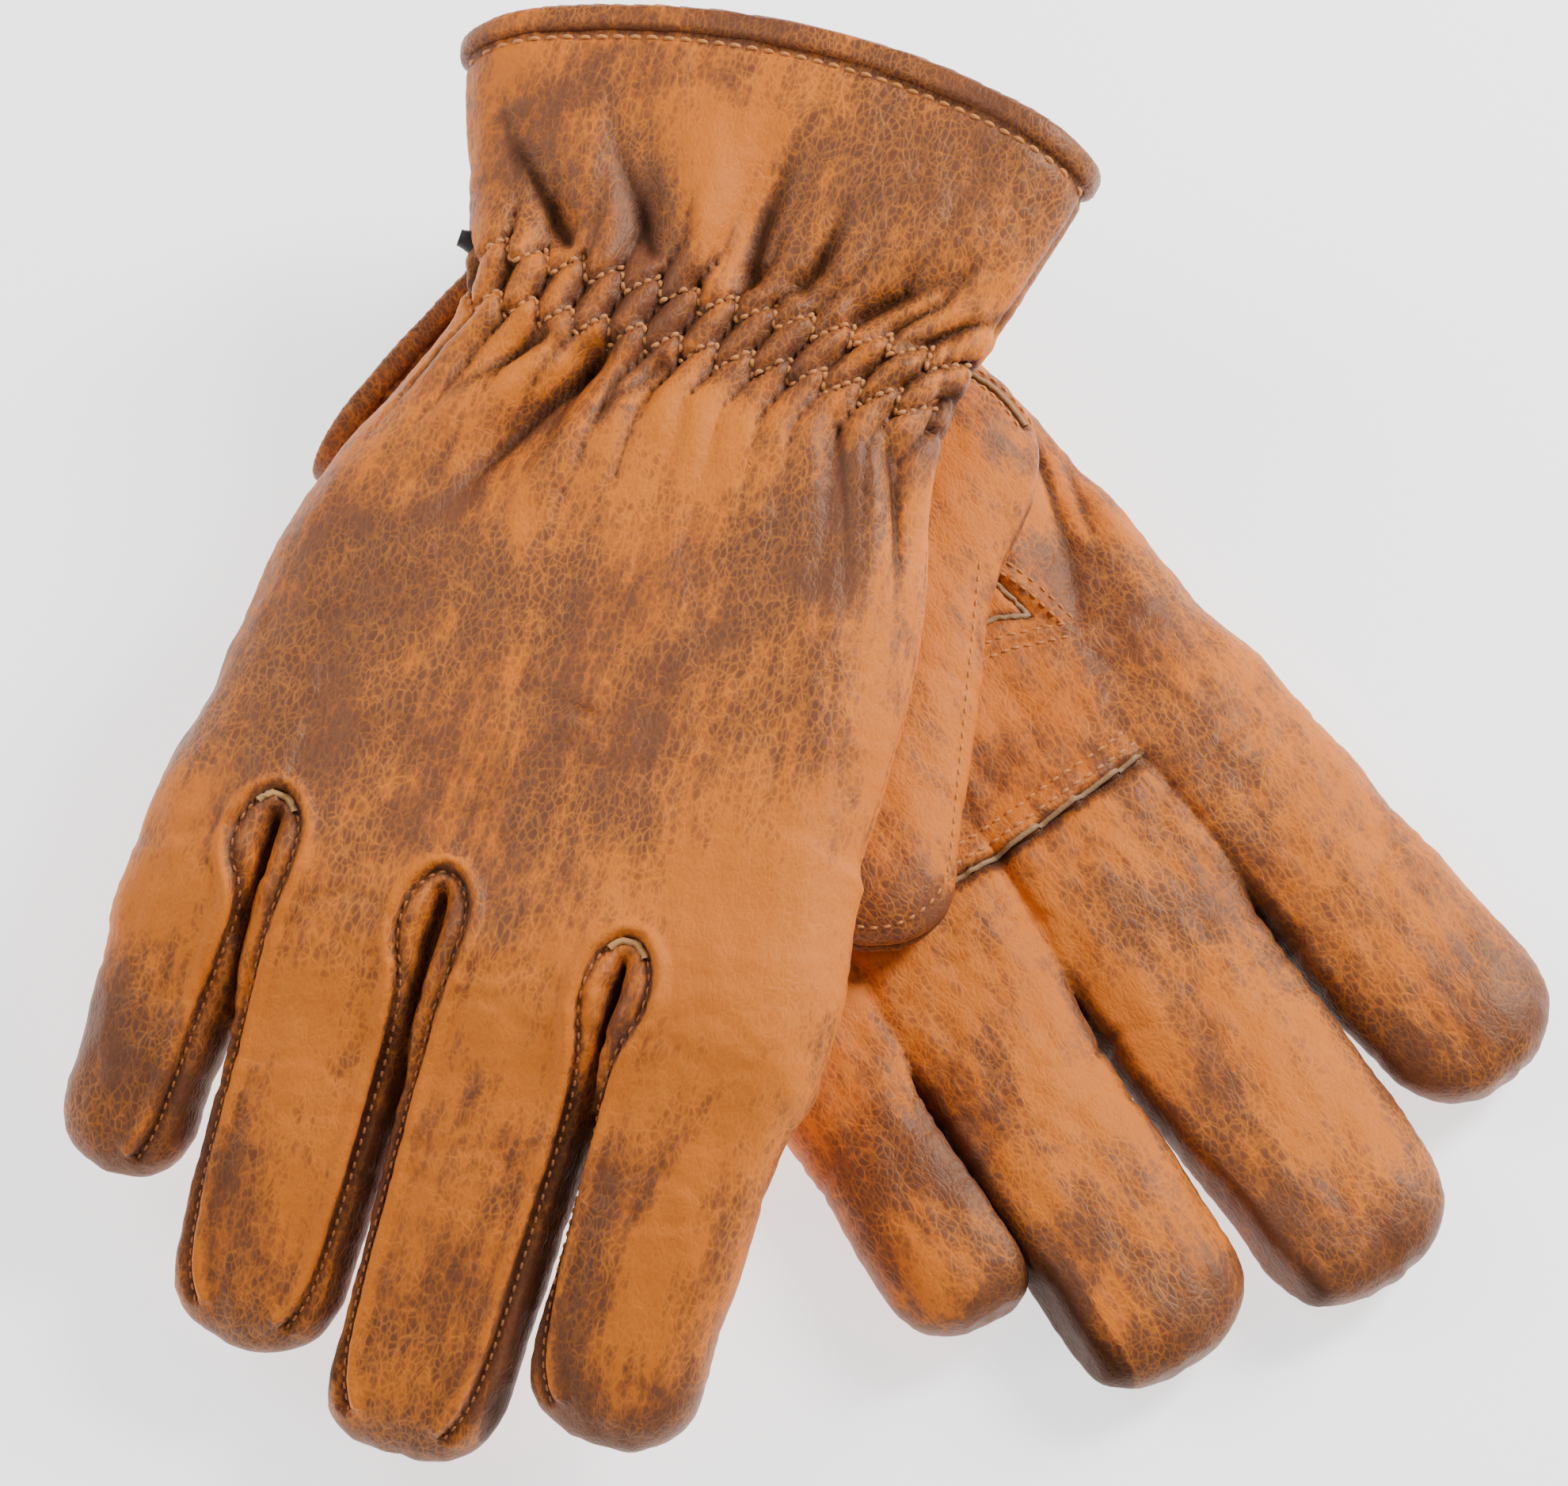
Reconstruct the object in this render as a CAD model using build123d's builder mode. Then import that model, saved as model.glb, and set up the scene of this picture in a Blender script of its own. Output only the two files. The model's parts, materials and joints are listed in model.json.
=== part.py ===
from build123d import *
import os
from math import radians, tan

# A pair of gathered-wrist leather riding gloves. The left glove lies palm up on the table and the
# right glove lies across it, back of the hand up. Millimetres, +Z up, table at z = 0.
# Each glove is drawn in its own hand frame: origin at the wrist centre, +Y towards the fingertips,
# +Z out of the back of the hand, index side at +X on the left glove and -X on the right one.

# Leather and clearances
LEATHER = 1.5
HINGE_GAP = 0.3
CURL_MITRE = 22.0
STRETCH_MITRE = 3.0
CUT_REACH = 40.0

# How the two gloves lie
LEFT_WRIST = (-26.0, 57.0, 9.5)
LEFT_HEADING = 31.0
RIGHT_WRIST = (-28.0, 36.0, 52.0)
RIGHT_HEADING = -17.0
RIGHT_PITCH = 5.0
RIGHT_ROLL = 4.0
FINGER_DROOP = {"left": 0.0, "right": 14.0}

# Hand and cuff sections: distance from the wrist, centre, half width, half thickness, slant of the cut.
# The left cuff lies bent over towards its little-finger side.
HAND_HALF = 9.5
CUFF_SECTIONS = {
    "left": [
        (-30.5, -35.0, 43.0, 8.5, -24.0),
        (-17.0, -17.0, 42.5, 8.5, -16.0),
        (-3.0, -2.0, 42.5, 8.5, -9.0),
    ],
    "right": [
        (-50.0, -6.0, 55.5, 7.0, -2.0),
        (-26.0, -4.0, 49.0, 7.5, -5.0),
        (-3.0, -1.5, 42.5, 8.5, -8.0),
    ],
}
PALM_SECTIONS = [
    (24.0, -3.5, 49.5, HAND_HALF, 0.0),
    (60.0, -6.5, 56.5, HAND_HALF, 0.0),
    (112.0, -8.5, 59.5, HAND_HALF, 0.0),
]

# Finger stalls: centre across the hand, half width at the root, and the sides that carry a fork strip
FINGERS = {
    "index": (34.0, 16.4, (-1,)),
    "middle": (1.25, 15.2, (-1, 1)),
    "ring": (-29.5, 14.4, (-1, 1)),
    "little": (-56.25, 11.2, (1,)),
}
FINGER_HALF = 9.0
FORK_HALF = 3.5
# For each glove: distance of the root crease from the wrist, stall length, splay towards the index side
STALLS = {
    "left": {
        "index": (102.0, 79.5, 6.9),
        "middle": (103.0, 98.5, 1.5),
        "ring": (105.0, 90.5, -2.3),
        "little": (106.0, 65.0, -2.2),
    },
    "right": {
        "index": (106.0, 74.6, 4.2),
        "middle": (105.0, 86.4, 1.1),
        "ring": (101.5, 79.8, 1.7),
        "little": (98.0, 61.5, -3.4),
    },
}
# Stall outline: share of the length, of the half width and of the half thickness
STALL_OUTLINE = [
    (-0.08, 1.00, 1.00),
    (0.45, 0.93, 0.98),
    (0.78, 0.87, 0.92),
    (0.93, 0.66, 0.72),
    (1.00, 0.34, 0.38),
]

# Thumbs, folded across the palm: centre of the root opening, length, splay, half width
THUMBS = {
    "left": (11.0, 40.0, 84.0, -37.0, 15.5),
    "right": (8.0, 41.0, 74.0, -60.0, 14.5),
}
THUMB_HALF = 6.5
THUMB_LIFT = HAND_HALF + 1.6 + THUMB_HALF
THUMB_HOLE_RADIUS = 9.0
THUMB_OUTLINE = [
    (-0.20, 0.42, 0.45),
    (-0.12, 0.88, 0.88),
    (0.00, 1.00, 1.00),
    (0.50, 0.95, 1.00),
    (0.80, 0.86, 0.94),
    (0.94, 0.62, 0.70),
    (1.00, 0.32, 0.38),
]
# Pointed end of the thumb gusset, sewn flat on the palm beside the thumb
KEYSTONE = [(19.5, 77.0), (15.0, 60.0), (3.0, 60.0), (3.0, 72.0)]
KEYSTONE_THICKNESS = 1.2

# Trim
BINDING_LENGTH = 4.6
BINDING_OUT = 1.0
BINDING_IN = 2.5
ELASTIC_START = -14.0
ELASTIC_END = 7.0
ELASTIC_THICKNESS = 0.8
ELASTIC_CLEARANCE = 0.2
ELASTIC_EDGE = 8.0
LOOP_WIDTH = 6.0
LOOP_REACH = 4.5
LOOP_CORD_RADIUS = 1.1
LOOP_OFFSET = 3.9
LOOP_Y = -7.0


def hand_frame(glove):
    """Place of a glove's hand frame."""
    if glove == "left":
        return Location(LEFT_WRIST) * Rotation(0, 0, LEFT_HEADING) * Rotation(180, 0, 0)
    heading = Rotation(0, 0, RIGHT_HEADING + 180)
    return Location(RIGHT_WRIST) * heading * Rotation(-RIGHT_PITCH, 0, 0) * Rotation(0, RIGHT_ROLL, 0)


def index_sign(glove):
    """+1 where the index side lies at +X, -1 where it lies at -X."""
    return 1 if glove == "left" else -1


def cross_plane(frame, x, y, slant=0.0):
    """Sketch plane across a hand or finger at distance y, facing the fingertips."""
    return Plane(frame * Location((x, y, 0)) * Rotation(0, 0, slant) * Rotation(-90, 0, 0))


def tube(frame, sections, inset=0.0):
    """Solid lofted through rounded sections: (x, y, half width, half thickness, slant)."""
    with BuildPart() as body:
        for x, y, half_width, half_height, slant in sections:
            across = half_width - inset
            thick = half_height - inset
            with BuildSketch(cross_plane(frame, x, y, slant)):
                RectangleRounded(2 * across, 2 * thick, 0.85 * min(across, thick))
        loft(ruled=True)
    return body.part


def hand_sections(glove):
    """Driving sections of one glove's hand, from the hem to the fingers."""
    sign = index_sign(glove)
    rows = CUFF_SECTIONS[glove] + PALM_SECTIONS
    return [(sign * x, y, width, height, sign * slant) for y, x, width, height, slant in rows]


def hand_section(glove, y, grow=0.0):
    """Section of the hand at distance y, straight between the driving sections."""
    rows = hand_sections(glove)
    for first, last in zip(rows, rows[1:]):
        if first[1] <= y <= last[1]:
            share = (y - first[1]) / (last[1] - first[1])
            x, _, half_width, half_height, slant = [a + (b - a) * share for a, b in zip(first, last)]
            return (x, y, half_width + grow, half_height + grow, slant)


def hand_skin(glove):
    """Hand and cuff as one open-ended leather sleeve."""
    frame = hand_frame(glove)
    sections = hand_sections(glove)
    hem = sections[0]
    end = sections[-1]
    longer = [(hem[0], hem[1] - 3, *hem[2:])] + sections + [(end[0], end[1] + 3, *end[2:])]
    outer = tube(frame, sections)
    inner = tube(frame, longer, inset=LEATHER)
    with BuildPart() as skin:
        add(outer)
        add(inner, mode=Mode.SUBTRACT)
        for finger in FINGERS:
            add(crease_cut(glove, finger), mode=Mode.SUBTRACT)
    return skin.part


def finger_root(glove, finger):
    """Frame at a finger's root crease, in line with the back of the hand."""
    sign = index_sign(glove)
    root_y, _, splay = STALLS[glove][finger]
    root = Location((sign * FINGERS[finger][0], root_y, 0))
    return hand_frame(glove) * root * Rotation(0, 0, -sign * splay)


def finger_frame(glove, finger):
    """Frame of a finger stall, which droops from the root crease."""
    return finger_root(glove, finger) * Rotation(-FINGER_DROOP[glove], 0, 0)


def crease_prism(frame, away, width):
    """Everything on one side (away = 1 beyond, -1 before) of the mitred crease at a finger root."""
    reach = CUT_REACH / 2
    palm = away * -tan(radians(CURL_MITRE)) * reach
    back = away * -tan(radians(STRETCH_MITRE)) * reach
    start = -away * HINGE_GAP / 2
    with BuildPart() as prism:
        with BuildSketch(Plane(frame * Rotation(0, 90, 0) * Rotation(0, 0, 90))):
            with BuildLine():
                Polyline(
                    (start, 0),
                    (start + back, reach),
                    (away * CUT_REACH, reach),
                    (away * CUT_REACH, -reach),
                    (start + palm, -reach),
                    close=True,
                )
            make_face()
        extrude(amount=width, both=True)
    return prism.part


def crease_cut(glove, finger):
    """The room a finger takes from the end of the hand."""
    return crease_prism(finger_root(glove, finger), 1, FINGERS[finger][1] + 5.0)


def pod(frame, outline, length, half_width, half_height):
    """Hollow stall: outline shares scaled to its length and section, closed at the tip."""
    outside = [(0, a * length, b * half_width, c * half_height, 0) for a, b, c in outline]
    inside = [(x, min(y, length - LEATHER), w, h, s) for x, y, w, h, s in outside]
    outer = tube(frame, outside)
    inner = tube(frame, inside, inset=LEATHER)
    with BuildPart() as shell:
        add(outer)
        add(inner, mode=Mode.SUBTRACT)
    return shell.part


def slab(frame, low, high):
    """Axis-aligned block of a local frame, from its low to its high corner."""
    size = [b - a for a, b in zip(low, high)]
    centre = tuple((a + b) / 2 for a, b in zip(low, high))
    with BuildPart() as block:
        with Locations(frame * Location(centre)):
            Box(*size)
    return block.part


def keep(skin, block, removed=()):
    """The part of a skin inside one block and outside others."""
    with BuildPart() as piece:
        add(skin)
        add(block, mode=Mode.INTERSECT)
        for other in removed:
            add(other, mode=Mode.SUBTRACT)
    return piece


def save(piece, name):
    piece.part.label = name
    export_step(piece.part, f"parts/{name}.step")


def build_hand(glove):
    """Back panel with its cuff, and palm panel with the thumb opening."""
    frame = hand_frame(glove)
    sign = index_sign(glove)
    skin = hand_skin(glove)
    thumb_x, thumb_y = THUMBS[glove][:2]
    with BuildPart() as opening:
        with Locations(frame * Location((sign * thumb_x, thumb_y, -HAND_HALF))):
            Cylinder(THUMB_HOLE_RADIUS, 4 * LEATHER)
    back = keep(skin, slab(frame, (-90, -70, 0), (90, 140, 20)))
    save(back, f"{glove}_hand_back")
    palm = keep(skin, slab(frame, (-90, -70, -20), (90, 140, 0)), [opening.part])
    save(palm, f"{glove}_palm")


def build_finger(glove, finger):
    """Back, front and fork strips of one finger stall."""
    frame = finger_frame(glove, finger)
    sign = index_sign(glove)
    _, half_width, fork_sides = FINGERS[finger]
    _, length, _ = STALLS[glove][finger]
    shell = pod(frame, STALL_OUTLINE, length, half_width, FINGER_HALF)
    before = crease_prism(frame, -1, half_width + 5.0)
    skin = keep(shell, slab(frame, (-30, -20, -20), (30, 120, 20)), [before]).part
    zones = []
    for side in fork_sides:
        near, far = sorted((sign * side * 0.55 * half_width, sign * side * 2 * half_width))
        zones.append(slab(frame, (near, -20, -FORK_HALF), (far, 0.84 * length, FORK_HALF)))
    back = keep(skin, slab(frame, (-30, -20, 0), (30, 120, 20)), zones)
    save(back, f"{glove}_{finger}_back")
    front = keep(skin, slab(frame, (-30, -20, -20), (30, 120, 0)), zones)
    save(front, f"{glove}_{finger}_front")
    with BuildPart() as forks:
        for zone in zones:
            add(zone)
        add(skin, mode=Mode.INTERSECT)
    save(forks, f"{glove}_{finger}_fork")


def thumb_frame(glove):
    """Frame of a thumb, lying on the palm with its root over the palm's thumb opening."""
    sign = index_sign(glove)
    x, y, _, splay, _ = THUMBS[glove]
    return hand_frame(glove) * Location((sign * x, y, -THUMB_LIFT)) * Rotation(0, 0, -sign * splay)


def build_thumb(glove):
    """Two halves of the thumb stall and the gusset point sewn to the palm."""
    frame = thumb_frame(glove)
    sign = index_sign(glove)
    _, _, length, _, half_width = THUMBS[glove]
    shell = pod(frame, THUMB_OUTLINE, length, half_width, THUMB_HALF)
    with BuildPart() as opening:
        with Locations(frame * Location((0, 0, THUMB_HALF))):
            Cylinder(THUMB_HOLE_RADIUS, 4 * LEATHER)
    outer = keep(shell, slab(frame, (-30, -30, -20), (30, 120, 0)))
    save(outer, f"{glove}_thumb_outer")
    inner = keep(shell, slab(frame, (-30, -30, 0), (30, 120, 20)), [opening.part])
    save(inner, f"{glove}_thumb_inner")
    hand = hand_frame(glove)
    with BuildPart() as keystone:
        with BuildSketch(Plane(hand * Location((0, 0, -HAND_HALF)))):
            Polygon(*[(sign * x, y) for x, y in KEYSTONE], align=None)
        extrude(amount=-KEYSTONE_THICKNESS)
    save(keystone, f"{glove}_thumb_keystone")


def build_trim(glove):
    """Rolled binding on the hem, and the elastic sewn inside the back of the wrist."""
    frame = hand_frame(glove)
    x, y, half_width, half_height, slant = hand_sections(glove)[0]
    with BuildPart() as binding:
        with BuildSketch(cross_plane(frame, x, y, slant)):
            for grow, mode in ((BINDING_OUT, Mode.ADD), (-BINDING_IN, Mode.SUBTRACT)):
                across = half_width + grow
                thick = half_height + grow
                RectangleRounded(2 * across, 2 * thick, 0.85 * thick, mode=mode)
        extrude(amount=-BINDING_LENGTH)
    save(binding, f"{glove}_hem_binding")

    middle = CUFF_SECTIONS[glove][-1]
    stations = (ELASTIC_START, middle[0], ELASTIC_END)
    band = [hand_section(glove, station, -LEATHER - ELASTIC_CLEARANCE) for station in stations]
    reach = middle[2] - ELASTIC_EDGE
    outer = tube(frame, band)
    inner = tube(frame, band, inset=ELASTIC_THICKNESS)
    elastic = keep(outer, slab(frame, (-reach, -60, 2), (reach, 60, 20)), [inner])
    save(elastic, f"{glove}_wrist_elastic")


def build_loop():
    """Small cord loop that stands out of the right glove's little-finger seam above the wrist."""
    sign = index_sign("right")
    x, y, half_width, _, _ = hand_section("right", LOOP_Y)
    edge = hand_frame("right") * Location((x - sign * (half_width + LOOP_OFFSET), y, 0))
    outwards = edge * Rotation(0, 0, 90 + 90 * sign)
    with BuildPart() as loop:
        with BuildLine(Plane(outwards)) as path:
            Spline(
                (0, -LOOP_WIDTH / 2),
                (LOOP_REACH, 0),
                (0, LOOP_WIDTH / 2),
                tangents=((1, 0), (-1, 0)),
            )
        with BuildSketch(Plane(origin=path.line @ 0, z_dir=path.line % 0)):
            Circle(LOOP_CORD_RADIUS)
        sweep()
    save(loop, "right_hang_loop")


os.makedirs("parts", exist_ok=True)
for glove in ("left", "right"):
    build_hand(glove)
    build_trim(glove)
    build_thumb(glove)
    for finger in FINGERS:
        build_finger(glove, finger)
build_loop()
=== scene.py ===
"""Leather riding gloves: skins shaped from distance fields, then folded, gathered and stitched.

Shapes are worked out flat, in millimetres, in a hand frame: u towards the index finger, v towards the
fingertips, w towards the back of the hand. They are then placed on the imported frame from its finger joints.
"""
import json
import math

import bpy
import numpy as np
import openvdb
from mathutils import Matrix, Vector
from mathutils.bvhtree import BVHTree


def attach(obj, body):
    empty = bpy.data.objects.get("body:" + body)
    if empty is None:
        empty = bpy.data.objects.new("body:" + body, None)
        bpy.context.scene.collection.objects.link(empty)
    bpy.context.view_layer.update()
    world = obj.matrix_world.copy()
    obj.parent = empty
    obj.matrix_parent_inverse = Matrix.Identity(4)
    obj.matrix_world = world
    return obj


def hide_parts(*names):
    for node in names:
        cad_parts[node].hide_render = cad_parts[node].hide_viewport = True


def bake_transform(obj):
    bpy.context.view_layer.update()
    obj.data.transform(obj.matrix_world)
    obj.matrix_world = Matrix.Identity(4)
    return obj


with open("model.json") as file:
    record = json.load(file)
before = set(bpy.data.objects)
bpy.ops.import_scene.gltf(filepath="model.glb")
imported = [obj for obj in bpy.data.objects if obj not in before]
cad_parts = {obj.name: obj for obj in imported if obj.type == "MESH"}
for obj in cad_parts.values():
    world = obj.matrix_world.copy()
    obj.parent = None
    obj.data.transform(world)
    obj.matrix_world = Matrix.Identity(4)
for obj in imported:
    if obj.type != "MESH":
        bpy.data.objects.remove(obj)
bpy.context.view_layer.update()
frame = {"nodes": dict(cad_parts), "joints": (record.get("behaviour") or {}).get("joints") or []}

# ------------------------------------------------------ driving dimensions, mm and degrees
# Spacing of the grid that the distance fields are worked out on.
GRID = 0.85
# Hand: half thickness, width of its rounded edge, squareness of it, leather, how far the cavity reaches.
HAND_HALF = 9.5
EDGE_ROUND = 15.0
HAND_POWER = 2.15
LEATHER_THICK = 1.6
CAVITY_END = 60.0
# Fingers: half thickness, squareness, how far they sink into the hand, fillets at the root and in the slots.
FINGER_HALF = 9.2
FINGER_POWER = 2.35
FINGER_OVERLAP = 20.0
ROOT_FILLET = 7.0
SLOT_FILLET = 3.0
SLOT_WALL = 0.5
WALL_FILLET = 1.5
# Bends: length of the droop at the root, two places along a finger that are worked out but not used further,
# curl of the tip.
BEND_LENGTH = 16.0
FINGER_BEND = (13.0, 35.0)
TIP_CURL = 9.0
SEAM_INSET = 5.2
# The left back is pressed flat from this height out, giving at most this much more.
BACK_FLAT = 8.2
BACK_GIVE = 1.2

GLOVES = ("left", "right")
FINGERS = ("index", "middle", "ring", "little")

# Hinges of the fingers: centre u for both gloves; each lies on its stall's crease.
HINGE_U = {"index": 34.0, "middle": 1.25, "ring": -29.5, "little": -56.25}
# Stall: root centre u, crease v, length, splay towards the index side, bow sideways, half width.
STALLS = {
    "left": {
        "index": (28.6, 102.0, 81.5, 9.8, 0.4, 16.9),
        "middle": (1.2, 103.0, 99.0, 1.8, 0.6, 19.4),
        "ring": (-29.6, 105.0, 91.5, -1.8, -0.6, 18.4),
        "little": (-54.2, 106.0, 67.5, -1.2, -0.4, 13.9),
    },
    "right": {
        "index": (32.0, 106.0, 77.0, -0.6, -1.0, 17.7),
        "middle": (1.25, 105.0, 89.0, -1.6, 0.6, 18.2),
        "ring": (-29.9, 101.5, 82.0, -0.8, 0.2, 17.6),
        "little": (-53.2, 98.0, 64.0, -6.2, -1.0, 13.4),
    },
}
# Fingers: degrees they hang from the hand, slope of the walls between them and the w it turns about, taper.
DROOP = {"left": 0.0, "right": 14.0}
SLOT_TILT = {"left": 0.15, "right": 0.34}
SLOT_PIVOT = {"left": -5.0, "right": 5.0}
FINGER_TAPER = {"left": 0.04, "right": 0.14}
# Slots between the fingers, little-finger side first: the crotch, then places along the slot.
SLOTS = {
    "left": [
        [(-44.5, 108.0), (-46.5, 138.0), (-45.5, 170.0), (-46.0, 200.0)],
        [(-13.5, 106.0), (-14.5, 125.0), (-14.5, 154.0), (-11.0, 178.0), (-8.0, 205.0)],
        [(17.5, 104.5), (20.5, 125.0), (21.5, 147.0), (23.0, 168.0), (26.0, 205.0)],
    ],
    "right": [
        [(-46.3, 100.0), (-45.6, 130.0), (-46.0, 165.0), (-46.0, 200.0)],
        [(-15.6, 105.5), (-15.2, 140.0), (-15.6, 180.0), (-16.0, 205.0)],
        [(16.8, 108.5), (16.6, 140.0), (16.0, 180.0), (15.5, 205.0)],
    ],
}
# Thumb: root centre u, v, length, splay, half width, half thickness. Then its drop below the hand's middle,
# how far its root disc reaches past it, and its cross wrinkles as shares of its length.
THUMBS = {"left": (11.0, 40.0, 89.5, -37.0, 15.3, 7.3), "right": (8.0, 41.0, 74.0, -60.0, 14.3, 6.5)}
THUMB_POWER = 2.3
THUMB_DROP = 17.6
THUMB_ROOT_EXTRA = 5.4
THUMB_CREASES = (0.40, 0.47, 0.72)
# Moves the thumb to another part of the hide, so that its mottling isn't the palm's.
THUMB_HIDE_SHIFT = np.array([-60.0, 15.0, 80.0])
LOOP_RADIUS = 1.5
LOOP_SIDES = 14

# Flat outline of each hand, from the cuff up the little-finger side and back down the index side.
HAND_OUTLINE = {
    "left": [
        (-99, -52), (-86, -34), (-77, -20), (-62, -7), (-48, 4), (-47, 13), (-53, 25), (-61, 50), (-65, 80),
        (-66.5, 104), (-66.5, 128), (44, 128), (43, 112), (42, 90), (41, 68), (39.5, 50), (36, 30),
        (33, 12), (29, -6), (20, -28), (8, -50), (-2, -75),
    ],
    "right": [
        (-68, -84), (-62.5, -50), (-58, -32), (-50.5, -14), (-47, -4), (-47, 7), (-51, 17), (-57, 30),
        (-62, 46), (-64.5, 62), (-65.5, 84), (-65.5, 104), (-66, 126), (48, 126), (47.5, 106), (47, 84),
        (47, 66), (47, 50), (44.5, 32), (40, 16), (38.5, 5), (40, -6), (43, -18), (47, -32), (51, -50),
        (56, -84),
    ],
}
# Hem line: v at the middle, u of the middle, rise at the ends per mm squared, slope.
HEM = {"left": (-35.8, -36.0, 0.0012, -0.34), "right": (-58.0, -6.5, 0.0036, -0.045)}
BINDING_WIDTH = 5.2
CUFF_END = {"left": -104.0, "right": -80.0}
# The side of each glove that faces up: 1 for its back, -1 for its palm.
SEEN_SIDE = {"left": -1, "right": 1}
# Stitch rows: spacing, and each stitch's length and half thickness.
HEM_STITCH = {"pitch": 2.9, "length": 2.2, "radius": 0.46}
GATHER_STITCH = {"pitch": 1.9, "length": 1.6, "radius": 0.46}
SLOT_STITCH = {"pitch": 1.9, "length": 1.25, "radius": 0.26}
PALM_STITCH = {"pitch": 2.5, "length": 1.8, "radius": 0.32}
KEYSTONE_STITCH = {"pitch": 2.2, "length": 1.6, "radius": 0.30}
THUMB_STITCH = {"pitch": 2.2, "length": 1.4, "radius": 0.28}
THUMB_ROOT_STITCH = {"pitch": 2.3, "length": 1.7, "radius": 0.34}

# ------------------------------------------------------ small maths helpers


def smooth(x, lo=0.0, hi=1.0):
    """0 below lo, 1 above hi, with an even curve between."""
    t = np.clip((x - lo) / (hi - lo), 0, 1)
    return t * t * (3 - 2 * t)


def bump(x, width):
    """1 at zero, fading to 0 at width either side."""
    t = np.clip(1 - (x / width) ** 2, 0, 1)
    return t * t


def soft_min(a, b, k):
    """The lower of two fields with a fillet k wide."""
    h = np.clip(0.5 + 0.5 * (b - a) / k, 0, 1)
    return b + (a - b) * h - k * h * (1 - h)


def soft_max(a, b, k):
    """The higher of two fields with a fillet k wide."""
    return -soft_min(-a, -b, k)


def rounded_end(share, power):
    """How wide a stall still is: 1 before its end starts, nearly 0 at the very end."""
    return (1 - np.clip(share, 0, 0.9995) ** power) ** (1 / power)


def superellipse(x, y, power):
    """1 on a rounded box of half sizes 1; a higher power is squarer."""
    return (np.abs(x) ** power + np.abs(y) ** power) ** (1 / power)


def rounded(points, rounds=2, closed=True):
    """Cuts the corners of an outline so that it runs smoothly."""
    p = np.array(points, float)
    for _ in range(rounds):
        if closed:
            q = np.roll(p, -1, axis=0)
            p = np.stack([0.75 * p + 0.25 * q, 0.25 * p + 0.75 * q], 1).reshape(-1, 2)
        else:
            a, b = p[:-1], p[1:]
            mid = np.stack([0.75 * a + 0.25 * b, 0.25 * a + 0.75 * b], 1).reshape(-1, 2)
            p = np.vstack([p[:1], mid, p[-1:]])
    return p


def line_distance(u, v, points):
    """Distance to a line through points, how far along it (0 to 1), and which side each place is on."""
    p = np.array(points, float)
    lengths = np.hypot(*(p[1:] - p[:-1]).T)
    total = lengths.sum()
    best = np.full(u.shape, 1e9)
    along = np.zeros(u.shape)
    side = np.zeros(u.shape)
    walked = 0.0
    for a, b, length in zip(p[:-1], p[1:], lengths):
        du, dv = (b - a) / length
        s = np.clip((u - a[0]) * du + (v - a[1]) * dv, 0, length)
        offset_u = u - a[0] - s * du
        offset_v = v - a[1] - s * dv
        distance = np.hypot(offset_u, offset_v)
        near = distance < best
        best = np.where(near, distance, best)
        along = np.where(near, (walked + s) / total, along)
        side = np.where(near, np.sign(offset_u * dv - offset_v * du), side)
        walked += length
    return best, along, side


def inside_outline(u, v, outline):
    """Signed distance to a closed outline, positive inside."""
    p = np.array(outline, float)
    best, _, _ = line_distance(u, v, np.vstack([p, p[:1]]))
    inside = np.zeros(u.shape, bool)
    for a, b in zip(p, np.roll(p, -1, axis=0)):
        crosses = (a[1] > v) != (b[1] > v)
        with np.errstate(divide="ignore", invalid="ignore"):
            at = a[0] + (v - a[1]) / (b[1] - a[1]) * (b[0] - a[0])
        inside ^= crosses & (u < at)
    return np.where(inside, best, -best)


WAVES = np.random.default_rng(11)
WAVE_VECTORS = WAVES.normal(size=(14, 3))
WAVE_PHASES = WAVES.uniform(0, 2 * math.pi, 14)


def lumps(points, wavelength, shift=0.0):
    """Smooth wandering bumps between about -1 and 1."""
    k = 2 * math.pi / wavelength
    total = np.zeros(len(points))
    for vector, phase in zip(WAVE_VECTORS, WAVE_PHASES):
        total += np.sin(points @ vector * k * 0.8 + phase * (1 + shift))
    return total / 5.5


# ------------------------------------------------------ where each glove sits, from its finger joints

JOINTS = {joint["name"]: joint for joint in frame["joints"]}


def hand_placement(glove):
    """The turn and shift that carry hand-frame millimetres to the frame, fitted to the four finger joints."""
    sign = 1.0 if glove == "left" else -1.0
    flat = np.array([(sign * HINGE_U[f], STALLS[glove][f][1], 0.0) for f in FINGERS])
    placed = np.array([JOINTS[f"{glove}_{f}_curl"]["pos_m"] for f in FINGERS]) * 1000
    a = flat - flat.mean(0)
    b = placed - placed.mean(0)
    turn_u, _, turn_v = np.linalg.svd(a.T @ b)
    flip = np.diag([1, 1, np.sign(np.linalg.det(turn_u @ turn_v))])
    turn = (turn_u @ flip @ turn_v).T
    return sign, turn, placed.mean(0) - turn @ flat.mean(0)


PLACEMENT = {glove: hand_placement(glove) for glove in GLOVES}


def finger_local(glove, finger, u, v):
    """Sideways and lengthwise place in a finger's own frame, its length and half width."""
    centre, crease, length, splay, bow, half = STALLS[glove][finger]
    angle = math.radians(splay)
    du, dv = u - centre, v - crease
    across = du * math.cos(angle) - dv * math.sin(angle)
    along = du * math.sin(angle) + dv * math.cos(angle)
    share = np.clip(along / length, 0, 1)
    across = across - bow * 4 * share * (1 - share)
    return across, along, length, half


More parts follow.
